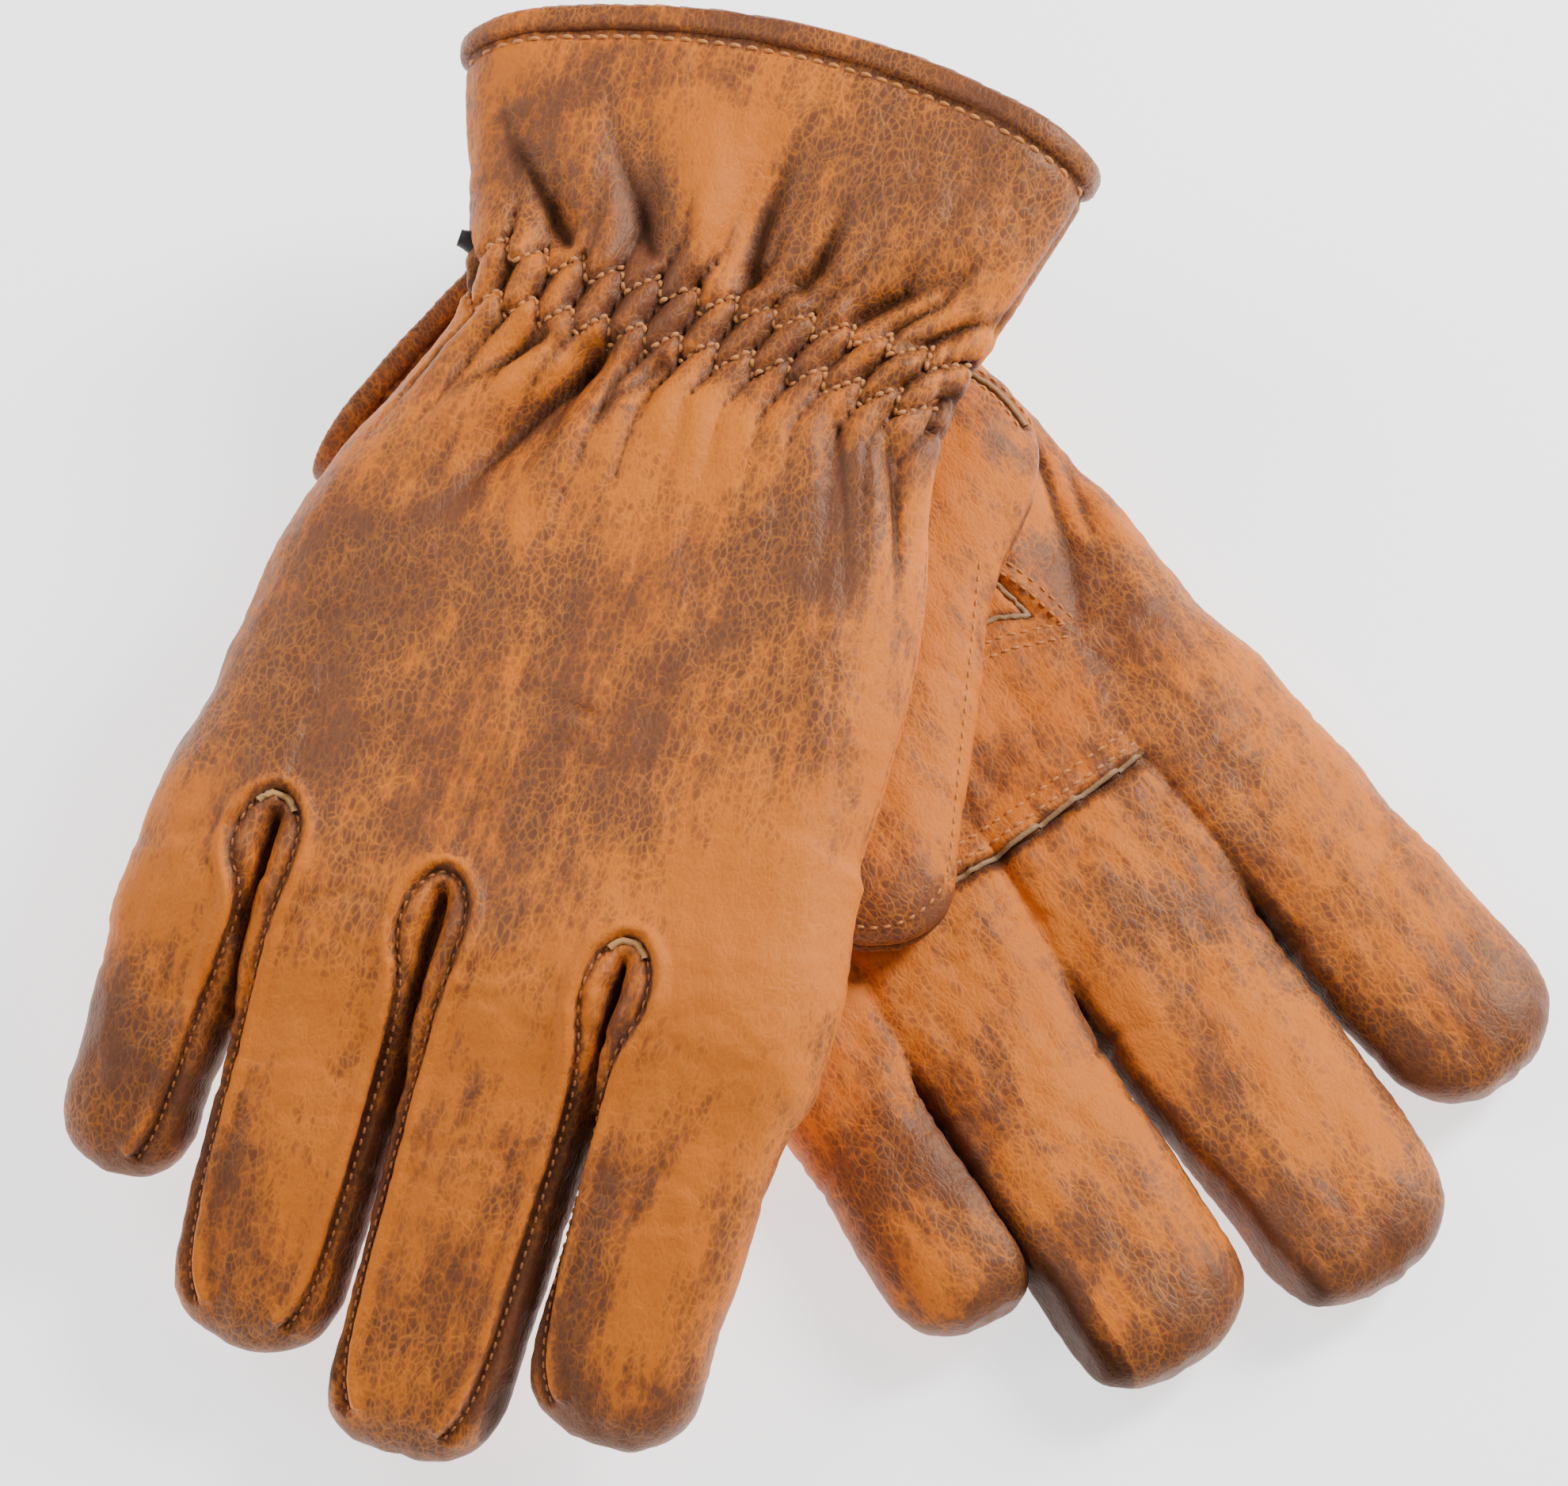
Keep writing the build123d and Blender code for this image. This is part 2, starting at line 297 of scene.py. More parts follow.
def finger_point(glove, finger, across, along):
    """The flat place at a finger's own across and along."""
    centre, crease, length, splay, bow, _ = STALLS[glove][finger]
    share = min(max(along / length, 0), 1)
    across = across + bow * 4 * share * (1 - share)
    angle = math.radians(splay)
    return (
        centre + across * math.cos(angle) + along * math.sin(angle),
        crease - across * math.sin(angle) + along * math.cos(angle),
    )


def bend_finger(glove, finger, points):
    """Droops a finger smoothly from its crease, with a little more curl towards the tip."""
    droop = DROOP[glove]
    if droop == 0:
        return points
    _, along, length, _ = finger_local(glove, finger, points[:, 0], points[:, 1])
    steps = np.linspace(0, length + 20, 200)
    tip_curl = TIP_CURL * smooth(steps, 0.35 * length, length)
    angle = np.radians(droop * smooth(steps, 0, BEND_LENGTH) + tip_curl)
    step = steps[1] - steps[0]
    reach = np.concatenate([[0], np.cumsum(np.cos(angle))[:-1]]) * step
    drop = -np.concatenate([[0], np.cumsum(np.sin(angle))[:-1]]) * step
    at = np.maximum(along, 0)
    turn = np.interp(at, steps, angle)
    new_along = np.interp(at, steps, reach) + points[:, 2] * np.sin(turn) + np.minimum(along, 0)
    new_w = np.interp(at, steps, drop) + points[:, 2] * np.cos(turn)
    splay = math.radians(STALLS[glove][finger][3])
    shift = new_along - along
    out = points.copy()
    out[:, 0] += shift * math.sin(splay)
    out[:, 1] += shift * math.cos(splay)
    out[:, 2] = new_w
    return out


def place(glove, points, finger=None):
    """Hand-frame millimetres to frame metres."""
    if finger is not None:
        points = bend_finger(glove, finger, points)
    sign, turn, shift = PLACEMENT[glove]
    flat = points * np.array([sign, 1.0, 1.0])
    return (flat @ turn.T + shift) / 1000


# ------------------------------------------------------ distance fields


def rested(glove, points):
    """Flattens the left glove's back where it lies on the table."""
    if glove == "left":
        deep = np.clip(points[:, 2] - BACK_FLAT, 0, None)
        points[:, 2] -= deep - BACK_GIVE * np.tanh(deep / BACK_GIVE)
    return points


def hem_line(glove, u):
    """The v of the cuff's open end."""
    middle, centre, rise, slope = HEM[glove]
    return middle + rise * (u - centre) ** 2 + slope * (u - centre)


def hand_field(glove, plan_u, plan_v, w):
    """The flat hand and cuff, rounded at its edges and fuller in the middle."""
    inside = inside_outline(plan_u, plan_v, rounded(HAND_OUTLINE[glove]))
    edge = np.clip((EDGE_ROUND - inside) / EDGE_ROUND, 0, None)
    half = HAND_HALF + 0.9 * smooth(inside, 10, 45) * bump(plan_v - 62, 60)
    half = half - 1.6 * bump(plan_v + 3, 22)
    half = half + 1.0 * smooth(-plan_v, 20, 60)
    radius = superellipse(edge, w / half, HAND_POWER)
    return (radius - 1) * half


def slot_field(glove, u, v):
    """Flat distance to the slots between the fingers, from each crotch outwards."""
    return np.minimum.reduce([line_distance(u, v, line)[0] for line in SLOTS[glove]])


def slot_sides(glove, u, v, w):
    """Signed distance to the surface that parts each pair of fingers, positive on the index side."""
    sides = []
    for line in SLOTS[glove]:
        distance, _, side = line_distance(u, v, line)
        sides.append(distance * side + SLOT_TILT[glove] * (w - SLOT_PIVOT[glove]))
    return sides


def finger_section(glove, share, length, half):
    """Half width and half thickness of a stall at a share of its length."""
    cap_start = 1 - 0.92 * half / length
    shrink = rounded_end((share - cap_start) / (1 - cap_start), FINGER_POWER)
    width = half * (1 - FINGER_TAPER[glove] * smooth(share, 0.2, 0.85)) * shrink
    thick = FINGER_HALF * (1 - 0.10 * smooth(share, 0.45, 1.0)) * shrink**0.85
    return np.maximum(width, 0.4), np.maximum(thick, 0.4)


def finger_field(glove, finger, u, v, w):
    """One stall, rounded at its tip and sunk into the hand behind its crease."""
    across, along, length, half = finger_local(glove, finger, u, v)
    width, thick = finger_section(glove, along / length, length, half)
    sink = 1 - 0.38 * smooth(-along, 0, FINGER_OVERLAP)
    width, thick = width * sink, thick * sink
    radius = superellipse(across / width, w / thick, FINGER_POWER)
    body = (radius - 1) * np.minimum(width, thick)
    return np.maximum(np.maximum(body, along - length), -(along + FINGER_OVERLAP))


def glove_field(glove, u, v, w):
    """The outer skin, without its cavity."""
    plan_u, plan_v = u[:, :, :1], v[:, :, :1]
    slots = slot_field(glove, plan_u, plan_v)
    seen = w if glove == "right" else -w
    widest = 2.2 if glove == "right" else 0.8
    opening = 1.1 + widest * smooth(seen, -2.0, 8.0) + 0.8 * smooth(-seen, 2.0, 8.0)
    hand = soft_max(hand_field(glove, plan_u, plan_v, w), opening - slots, SLOT_FILLET)
    wall = SLOT_WALL if glove == "left" else SLOT_WALL + 1.7 * smooth(w, 0.5, 8.0)
    walls = slot_sides(glove, plan_u, plan_v, w)
    fingers = []
    for number, finger in enumerate(FINGERS):
        one = finger_field(glove, finger, u, v, w)
        if number < 3:
            one = soft_max(one, wall - walls[2 - number], WALL_FILLET)
        if number > 0:
            one = soft_max(one, wall + walls[3 - number], WALL_FILLET)
        fingers.append(one)
    return soft_min(hand, np.minimum.reduce(fingers), ROOT_FILLET)


def grid_points(low, high):
    """The u, v and w of every place on a grid."""
    axes = [np.arange(a, b + GRID, GRID) for a, b in zip(low, high)]
    return np.meshgrid(*axes, indexing="ij")


def surface(field, low):
    """Points and quads of a field's zero surface."""
    limit = 3 * GRID
    grid = openvdb.FloatGrid(limit)
    grid.copyFromArray(np.clip(field, -limit, limit).astype(np.float32))
    points, _, quads = grid.convertToPolygons(0.0, 0.0)
    return points * GRID + np.array(low), quads


def sample(field, low, points):
    """A field's value at each point, evened between the grid's own places."""
    at = (points - np.array(low)) / GRID
    base = np.clip(np.floor(at).astype(int), 0, np.array(field.shape) - 2)
    part = at - base
    total = np.zeros(len(points))
    for corner in np.ndindex(2, 2, 2):
        weight = np.prod(np.where(np.array(corner, bool), part, 1 - part), axis=1)
        i, j, k = (base + corner).T
        total += weight * field[i, j, k]
    return total


# ------------------------------------------------------ relief: folds, gathers, seams

# How much painted shade lies on the walls in the slots between the fingers, per glove.
SLOT_WALL_SHADE = {"left": 0.50, "right": 0.62}
# Cross wrinkles: places along each finger as shares of its length, and their depth.
CREASE_PLACES = (0.10, 0.16, 0.42, 0.50)
CREASE_DEPTH = {"left": 0.26, "right": 0.18}
# Gathered row: its v, number of puffs, ends in u, half height, teeth of the zigzag, share of it on the palm.
GATHER_V = -1.6
GATHER_COUNT = 13
GATHER_ENDS = {"right": (-46.0, 39.0), "left": (-47.0, 31.0)}
PUFF_HALF = 4.6
TOOTH = 2.3
PALM_GATHER = {"left": 0.65, "right": 0.35}
# Strength and length of the folds that run out between the puffs: towards the fingers, then the cuff.
FOLD_CHOICE = np.random.default_rng(5)
FAN_STRENGTH = FOLD_CHOICE.uniform(0.35, 1.30, (2, 40))
FAN_REACH = FOLD_CHOICE.uniform(9.0, 26.0, (2, 40))


def on_back(w):
    """1 on the back of the hand, 0 on the palm."""
    return smooth(w, -2, 3)


def on_hand(v):
    """1 on the hand and cuff, 0 on the fingers."""
    return 1 - smooth(v, 92, 104)


def gather_lean(u):
    """How far each puff leans over, more towards the index side."""
    return 0.14 + 0.0066 * (u + 45)


def gather_phase(glove, u, v):
    """Runs through one turn per puff."""
    start, end = GATHER_ENDS[glove]
    spread = 1 + 0.010 * np.clip(np.abs(v - GATHER_V) - 8, 0, 40)
    centre = (start + end) / 2
    across = (u - centre) / spread + centre + gather_lean(u) * np.clip(v - GATHER_V, -14, 14)
    return (across - start) / (end - start) * GATHER_COUNT


def tooth_line(phase, upper):
    """The v of the stitched zigzag on the cuff side (upper) or the finger side of the puffs."""
    tooth = 1 - 4 * np.abs(phase - np.floor(phase) - 0.5)
    reach = PUFF_HALF + TOOTH * tooth
    return GATHER_V - reach if upper else GATHER_V + reach


def gathers(glove, u, v):
    """Leaf-shaped puffs between two zigzags, with folds that run out from between them."""
    phase = gather_phase(glove, u, v)
    top = tooth_line(phase, True)
    bottom = tooth_line(phase, False)
    row = smooth(v - top, -0.4, 1.0) * smooth(bottom - v, -0.4, 1.0)
    leaf = np.abs(np.sin(math.pi * phase)) ** 0.7
    arch = 1 - 0.45 * ((v - GATHER_V) / (PUFF_HALF + TOOTH)) ** 2
    depth = row * (3.1 * leaf * arch - 1.7)
    # Painted shade in the hollows between the puffs.
    shade_and_wear = 1.25 * row * (1 - leaf) ** 1.2
    which = np.clip(np.round(phase).astype(int) + 8, 0, 39)
    toward_cuff = (v < GATHER_V).astype(int)
    strength = FAN_STRENGTH[toward_cuff, which]
    reach = FAN_REACH[toward_cuff, which]
    distance = np.clip(np.where(toward_cuff == 1, top - v, v - bottom), 0, None)
    fade = strength * np.exp(-((distance / reach) ** 1.5))
    fold = np.abs(np.cos(math.pi * phase)) ** 0.8
    depth += (1 - row) * (2.4 * fold - 1.5) * fade
    # Painted shade in the valleys of the folds that run out from the row.
    shade_and_wear += (1 - row) * 1.0 * (1 - fold) ** 1.8 * fade
    # Painted shade along both zigzags, where the stitching pulls the leather in.
    pull = bump(v - top, 1.5) + bump(v - bottom, 1.5)
    return depth - 1.1 * pull, shade_and_wear + 0.42 * pull


# Long valleys in the leather: points (u, v), depth, half width.
FOLDS = {
    "right": [
        ([(-18, 4), (-23, 13), (-31, 29), (-41, 53)], 7.6, 3.9),
        ([(-28, 5), (-38, 16), (-47, 31)], 3.6, 3.4),
        ([(-8, 5), (-13, 14), (-21, 26)], 2.6, 2.8),
        ([(21, 6), (28, 22), (35, 44), (38, 62)], 1.9, 3.0),
        ([(30, 6), (37, 20), (42, 38), (45, 60)], 2.8, 3.0),
        ([(1, -8), (0, -20), (2, -34), (1, -50)], 4.6, 5.4),
        ([(-15, -9), (-21, -19), (-29, -30), (-36, -46)], 3.4, 5.2),
        ([(-29, -8), (-38, -17), (-48, -27), (-55, -40)], 4.6, 5.0),
        ([(9, -9), (13, -20), (16, -38)], 3.2, 4.4),
        ([(18, -8), (28, -16), (44, -27)], 3.8, 4.6),
        ([(27, -6), (36, -10), (43, -16)], 2.2, 3.0),
        ([(2, 71), (-10, 69), (-22, 69.5)], 0.5, 1.3),
        ([(38, 4), (36, -6), (40, -20), (46, -36)], 1.0, 1.8),
    ],
    "left": [
        ([(36, 38), (32, 52), (28, 63), (22, 77), (12, 95)], 3.2, 4.2),
        ([(39, 46), (34, 62), (28, 76), (25, 90)], 1.4, 3.6),
        ([(20, 82), (23, 92), (22, 101)], 1.0, 3.0),
        ([(-30, -8), (-40, -20), (-52, -28)], 2.0, 4.5),
        ([(-46, 2), (-56, -8), (-66, -14)], 2.0, 4.0),
    ],
}


# Where the finish is burnished brown (+) or rubbed back to tan (-): u, v, reach, amount.
BURNISH = {
    "right": [
        (-45, 52, 14, 0.12), (-48, 75, 12, 0.15), (23, 35, 13, 0.12), (-10, 53, 14, 0.10),
        (-4, 81, 15, 0.11), (31, 66, 11, 0.06), (-19, 34, 11, -0.12), (2, 21, 10, -0.14),
        (-23, 68, 13, -0.09), (28, 92, 17, -0.14), (-31, 15, 7, -0.10), (-56, 143, 15, 0.12),
        (-31, 138, 10, -0.07), (-27, 176, 10, 0.11), (3, 127, 10, -0.09), (1, 168, 10, 0.07),
        (37, 112, 13, -0.07), (43, 178, 12, 0.12), (-41, -17, 10, 0.12), (-9, -29, 10, -0.09),
        (20, -32, 16, 0.11), (46, -14, 10, -0.11), (-20, -13, 8, 0.11), (14, -13, 10, 0.11),
        (-4, 108, 8, 0.09),
    ],
    "left": [
        (40, 112, 16, -0.09), (47, 176, 12, 0.14), (24, 77, 9, 0.11), (12, 129, 12, 0.10),
        (17, 119, 6, -0.06), (16, 200, 10, 0.12), (3, 185, 9, 0.11), (-11, 163, 9, 0.10),
        (-26, 194, 9, 0.12), (-46, 144, 10, 0.07), (-52, 172, 9, 0.11), (-8, 94, 7, 0.09),
        (32, 94, 8, -0.06), (-22, 150, 9, -0.06),
    ],
}


def burnish_tone(glove, u, v):
    """How much browner or tanner than the natural mottling each place is."""
    tone = 0.07 * bump(v - GATHER_V, 16)
    for centre_u, centre_v, reach, amount in BURNISH[glove]:
        tone = tone + amount * np.exp(-((u - centre_u) ** 2 + (v - centre_v) ** 2) / reach**2)
    return tone


# The seam round a crotch, and its places along a finger with how near the edge it runs there.
CROTCH_ARCH = [(-5.6, 6.0), (-4.6, -0.5), (0.0, -5.0), (4.6, -0.5), (5.6, 6.0)]
SEAM_TAPER = ((0.2, 1.0), (0.45, 0.98), (0.7, 0.95), (0.86, 0.86), (0.93, 0.62))


def seam_place(glove, finger, side, at, taper):
    """A place on the seam along one side of a finger."""
    _, _, length, _, _, half = STALLS[glove][finger]
    return finger_point(glove, finger, side * (half - SEAM_INSET) * taper, length * at)


def finger_seams(glove):
    """The seam lines beside the slots: up one finger, round the crotch and down the next."""
    lines = []
    pairs = [("ring", "little"), ("middle", "ring"), ("index", "middle")]
    for slot_line, (upper, lower) in zip(SLOTS[glove], pairs):
        cu, cv = slot_line[0]
        line = [seam_place(glove, lower, 1, at, taper) for at, taper in reversed(SEAM_TAPER)]
        line += [(cu + du, cv + dv) for du, dv in CROTCH_ARCH]
        line += [seam_place(glove, upper, -1, at, taper) for at, taper in SEAM_TAPER]
        lines.append(rounded(line, 2, closed=False))
    return lines


SEAMS = {glove: finger_seams(glove) for glove in GLOVES}
GUNN_SEAM = rounded([(18, 103.2), (14, 104.2), (2, 105.3), (-10, 106.5), (-24, 107), (-40, 107)], 2, False)
KEYSTONE_OUTER = [(2, 73), (9, 74), (19, 77), (17, 69), (13, 60), (11, 54)]
KEYSTONE_INNER = [(3, 69), (9, 69.5), (14.5, 72), (12.5, 64), (9, 57)]
THUMB_ROOT_SEAM = rounded([(-3, -18), (3, -17.2), (8, -15.6), (13.5, -12.2), (18.4, -6.5)], 2, False)


def broad_softness(points):
    """The leather's slow waves and shallow wrinkles."""
    depth = 0.42 * lumps(points, 34) * smooth(points[:, 1], -60, -30)
    depth += 0.22 * lumps(points * np.array([1.6, 0.8, 1.0]), 13, 0.3)
    return depth + 0.10 * lumps(points * np.array([1.0, 1.7, 1.0]), 6.0, 0.7), 0.0


def gathered_wrist(glove, u, v, w):
    """The row of puffs with its folds, full on the back and weaker on the palm."""
    depth, shade_and_wear = gathers(glove, u, v)
    share = PALM_GATHER[glove] + (1 - PALM_GATHER[glove]) * on_back(w)
    return depth * share * on_hand(v), shade_and_wear * on_hand(v)


def long_folds(glove, u, v, w):
    """Valleys that deepen at once, widen and fade out, each with a low shoulder along both sides."""
    depth = 0.0
    shade_and_wear = 0.0
    side_ok = on_back(w) if glove == "right" else 1 - on_back(w)
    for line, fold_depth, half in FOLDS[glove]:
        distance, along, _ = line_distance(u, v, rounded(line, 2, False))
        fade = side_ok * smooth(along, 0.0, 0.12) * (1 - smooth(along, 0.25, 1.0))
        spread = half * (0.75 + 0.9 * along)
        crease = np.exp(-((distance / (0.42 * spread)) ** 1.3)) * (1 - 0.5 * smooth(along, 0.2, 0.9))
        broad = bump(distance, 2.1 * spread)
        shoulder = bump(distance - 2.1 * spread, 1.7 * spread)
        depth = depth + fade * fold_depth * (0.20 * shoulder - 0.52 * crease - 0.44 * broad)
        # Painted shade in each valley: strongest along its core, faint across its whole width.
        core = np.exp(-((distance / (0.30 * spread)) ** 2)) * (1 - 0.5 * along)
        shade_and_wear = shade_and_wear + fade * (min(0.24 * fold_depth, 1.2) * core + 0.12 * broad)
    return depth, shade_and_wear


def slot_seams(glove, u, v, w):
    """Seams round the slots and down the fingers, each with a rolled lip on the slot's side."""
    depth = 0.0
    shade_and_wear = 0.0
    lift = on_back(w) if glove == "right" else 0.4 * on_back(w)
    for line in SEAMS[glove]:
        distance, along, side = line_distance(u, v, line)
        open_ends = (along > 0.002) & (along < 0.998)
        lip_side = np.where(side > 0, 1.0, 0.0)
        shown = np.where(open_ends, 1.0, 0.0) * smooth(np.abs(w), 2.5, 5.5) * lift
        depth = depth + shown * (1.15 * lip_side * bump(distance - 1.9, 1.8) - 1.0 * bump(distance, 1.25))
        depth = depth + shown * 0.35 * (1 - lip_side) * bump(distance - 2.2, 2.2)
        # Painted shade in each seam's groove; the lip beside it is made lighter.
        shade_and_wear = shade_and_wear + shown * (0.75 * bump(distance, 1.1) - 0.5 * lip_side * bump(distance - 1.9, 1.6))
    return depth, shade_and_wear


def slot_walls(glove, u, v, w):
    """Painted shade on the walls down in the slots between the fingers."""
    shade_and_wear = 0.0
    for line in SLOTS[glove]:
        distance, _, _ = line_distance(u, v, line)
        shade_and_wear = shade_and_wear + np.exp(-((distance / 2.9) ** 4)) * (1 - smooth(np.abs(w), 6.0, 8.5))
    return 0.0, SLOT_WALL_SHADE[glove] * shade_and_wear


def hem_groove(glove, u, v):
    """The skin narrows under its binding, with painted shade in the groove there."""
    inward = v - hem_line(glove, u) - BINDING_WIDTH
    return -0.5 * bump(inward - 0.8, 1.6), 0.5 * bump(inward - 0.2, 1.6)


def side_seams(v, w):
    """The seams along both edges of the hand, between back and palm, with painted shade in their groove."""
    line = bump(np.abs(w), 1.0) * on_hand(v)
    return 0.3 * bump(np.abs(w) - 2.2, 2.0) * on_hand(v) - 0.55 * line, 0.45 * line


def palm_seams(u, v, w):
    """The left palm's cross seam, with its raised edge, and the keystone beside the thumb."""
    palm = smooth(-w, 2, 5)
    distance, along, _ = line_distance(u, v, GUNN_SEAM)
    ends = palm * smooth(along, 0, 0.06) * (1 - smooth(along, 0.94, 1.0))
    upper = np.where(v < np.interp(u, GUNN_SEAM[::-1, 0], GUNN_SEAM[::-1, 1]), 1.0, 0.0)
    depth = ends * (upper * 0.9 * bump(distance - 0.8, 6.0) - (1 - upper) * 1.2 * bump(distance, 3.2))
    # Painted shadow in the groove beside the seam's raised edge, and painted shade along the seam line.
    shade_and_wear = ends * ((1 - upper) * 0.9 * bump(distance, 3.4) + 0.3 * bump(distance, 1.0))
    outer_distance, _, _ = line_distance(u, v, KEYSTONE_OUTER)
    inner_distance, _, _ = line_distance(u, v, KEYSTONE_INNER)
    depth = depth + palm * (0.7 * bump(outer_distance, 1.5) - 0.9 * bump(inner_distance, 1.1))
    # Painted shade in the groove of the keystone's inner line.
    return depth, shade_and_wear + palm * 0.8 * bump(inner_distance, 1.1)


def finger_creases(glove, u, v):
    """Small cross wrinkles at the finger joints, with painted shade in them, and tips that are darker."""
    depth = 0.0
    shade_and_wear = 0.0
    for finger in FINGERS:
        across, along, length, half = finger_local(glove, finger, u, v)
        mine = np.where((np.abs(across) < half + 1) & (along > -2), 1.0, 0.0)
        wrinkle = 0.0
        for at in CREASE_PLACES:
            wobble = 1.4 * np.sin(across * 0.35 + at * 40)
            wrinkle = wrinkle + bump(along - at * length - wobble, 1.7) * CREASE_DEPTH[glove]
        depth = depth - mine * wrinkle
        shade_and_wear = shade_and_wear + mine * (0.45 * smooth(along / length, 0.86, 1.0) + 0.25 * wrinkle)
    return depth, shade_and_wear


def relief(glove, points):
    """How far the skin stands out or in at each point, mm, and how dark it is there: painted shade in its
    folds, grooves and slots, and wear.
    """
    u, v, w = points.T
    features = [
        broad_softness(points), gathered_wrist(glove, u, v, w), long_folds(glove, u, v, w),
        slot_seams(glove, u, v, w), slot_walls(glove, u, v, w), hem_groove(glove, u, v),
        side_seams(v, w), finger_creases(glove, u, v),
    ]
    if glove == "left":
        features.append(palm_seams(u, v, w))
    depth = sum(feature[0] for feature in features)
    shade_and_wear = sum(feature[1] for feature in features)
    return depth, np.clip(shade_and_wear, -1, 1)


def vertex_normals(points, quads):
    """The way out of the surface at each point."""
    a, b, c, d = (points[quads[:, i]] for i in range(4))
    face = np.cross(c - a, d - b)
    normals = np.zeros_like(points)
    for i in range(4):
        np.add.at(normals, quads[:, i], face)
    return normals / np.maximum(np.linalg.norm(normals, axis=1, keepdims=True), 1e-9)


# ------------------------------------------------------ materials


def feed(tree, socket, value):
    """Links another node's output to a socket, or sets a plain value there."""
    if isinstance(value, bpy.types.NodeSocket):
        tree.links.new(value, socket)
    else:
        socket.default_value = value


def add_node(tree, kind, inputs=None, **settings):
    """A shader node with its settings and what feeds its inputs."""
    node = tree.nodes.new(kind)
    for key, value in settings.items():
        setattr(node, key, value)
    for key, value in (inputs or {}).items():
        feed(tree, node.inputs[key], value)
    return node


def new_material(name):
    """An empty material with one shader."""
    material = bpy.data.materials.new(name)
    material.use_nodes = True
    tree = material.node_tree
    tree.nodes.clear()
    output = tree.nodes.new("ShaderNodeOutputMaterial")
    shader = tree.nodes.new("ShaderNodeBsdfPrincipled")
    tree.links.new(shader.outputs[0], output.inputs[0])
    return material, tree, shader


def ramp(tree, factor, stops):
    """Grey levels from (place, level) stops."""
    node = add_node(tree, "ShaderNodeValToRGB", {"Fac": factor})
    elements = node.color_ramp.elements
    while len(elements) < len(stops):
        elements.new(0.5)
    for element, (at, level) in zip(elements, stops):
        element.position = at
        element.color = (level, level, level, 1.0)
    return node.outputs["Color"]


def maths(tree, operation, *values):
    """One sum of sockets and plain numbers."""
    return add_node(tree, "ShaderNodeMath", dict(enumerate(values)), operation=operation).outputs[0]


def mix_colour(tree, factor, a, b):
    """A mix of two colours, each a socket or three numbers."""
    first, second = ((*colour, 1.0) if isinstance(colour, tuple) else colour for colour in (a, b))
    return add_node(tree, "ShaderNodeMix", {0: factor, 6: first, 7: second}, data_type="RGBA").outputs[2]


def shades(tree, share, colour, low, high):
    """A colour that wanders between a darker and a lighter shade of itself."""
    darker, lighter = (tuple(min(1.0, level * part) for part in colour) for level in (low, high))
    return mix_colour(tree, share, darker, lighter)


TAN = (0.61, 0.155, 0.013)
TAN_LIGHT = (0.76, 0.235, 0.020)
BROWN = (0.108, 0.037, 0.019)
# The deep brown of the painted shade in creases, grooves and slots, and of darker wear.
SHADE_AND_WEAR_BROWN = (0.030, 0.009, 0.004)


def noise(tree, vector, scale, detail, roughness, distortion=0.0):
    """A cloudy value about one half."""
    inputs = {"Vector": vector, "Scale": scale, "Detail": detail}
    inputs.update({"Roughness": roughness, "Distortion": distortion})
    return add_node(tree, "ShaderNodeTexNoise", inputs).outputs["Fac"]


def turned(tree, vector, angle, scale):
    """The same places turned and stretched, for marks that run in one direction."""
    inputs = {"Vector": vector, "Rotation": (0, 0, angle), "Scale": scale}
    return add_node(tree, "ShaderNodeMapping", inputs).outputs[0]


def creases(tree, vector, scale):
    """Distance to the fine creases between the pebbles of the grain."""
    inputs = {"Vector": vector, "Scale": scale, "Randomness": 1.0}
    return add_node(tree, "ShaderNodeTexVoronoi", inputs, feature="DISTANCE_TO_EDGE").outputs["Distance"]


def weighted(tree, terms):
    """The sum of (value, weight) pairs."""
    total = 0.0
    for value, weight in terms:
        total = maths(tree, "ADD", maths(tree, "MULTIPLY", value, weight), total)
    return total


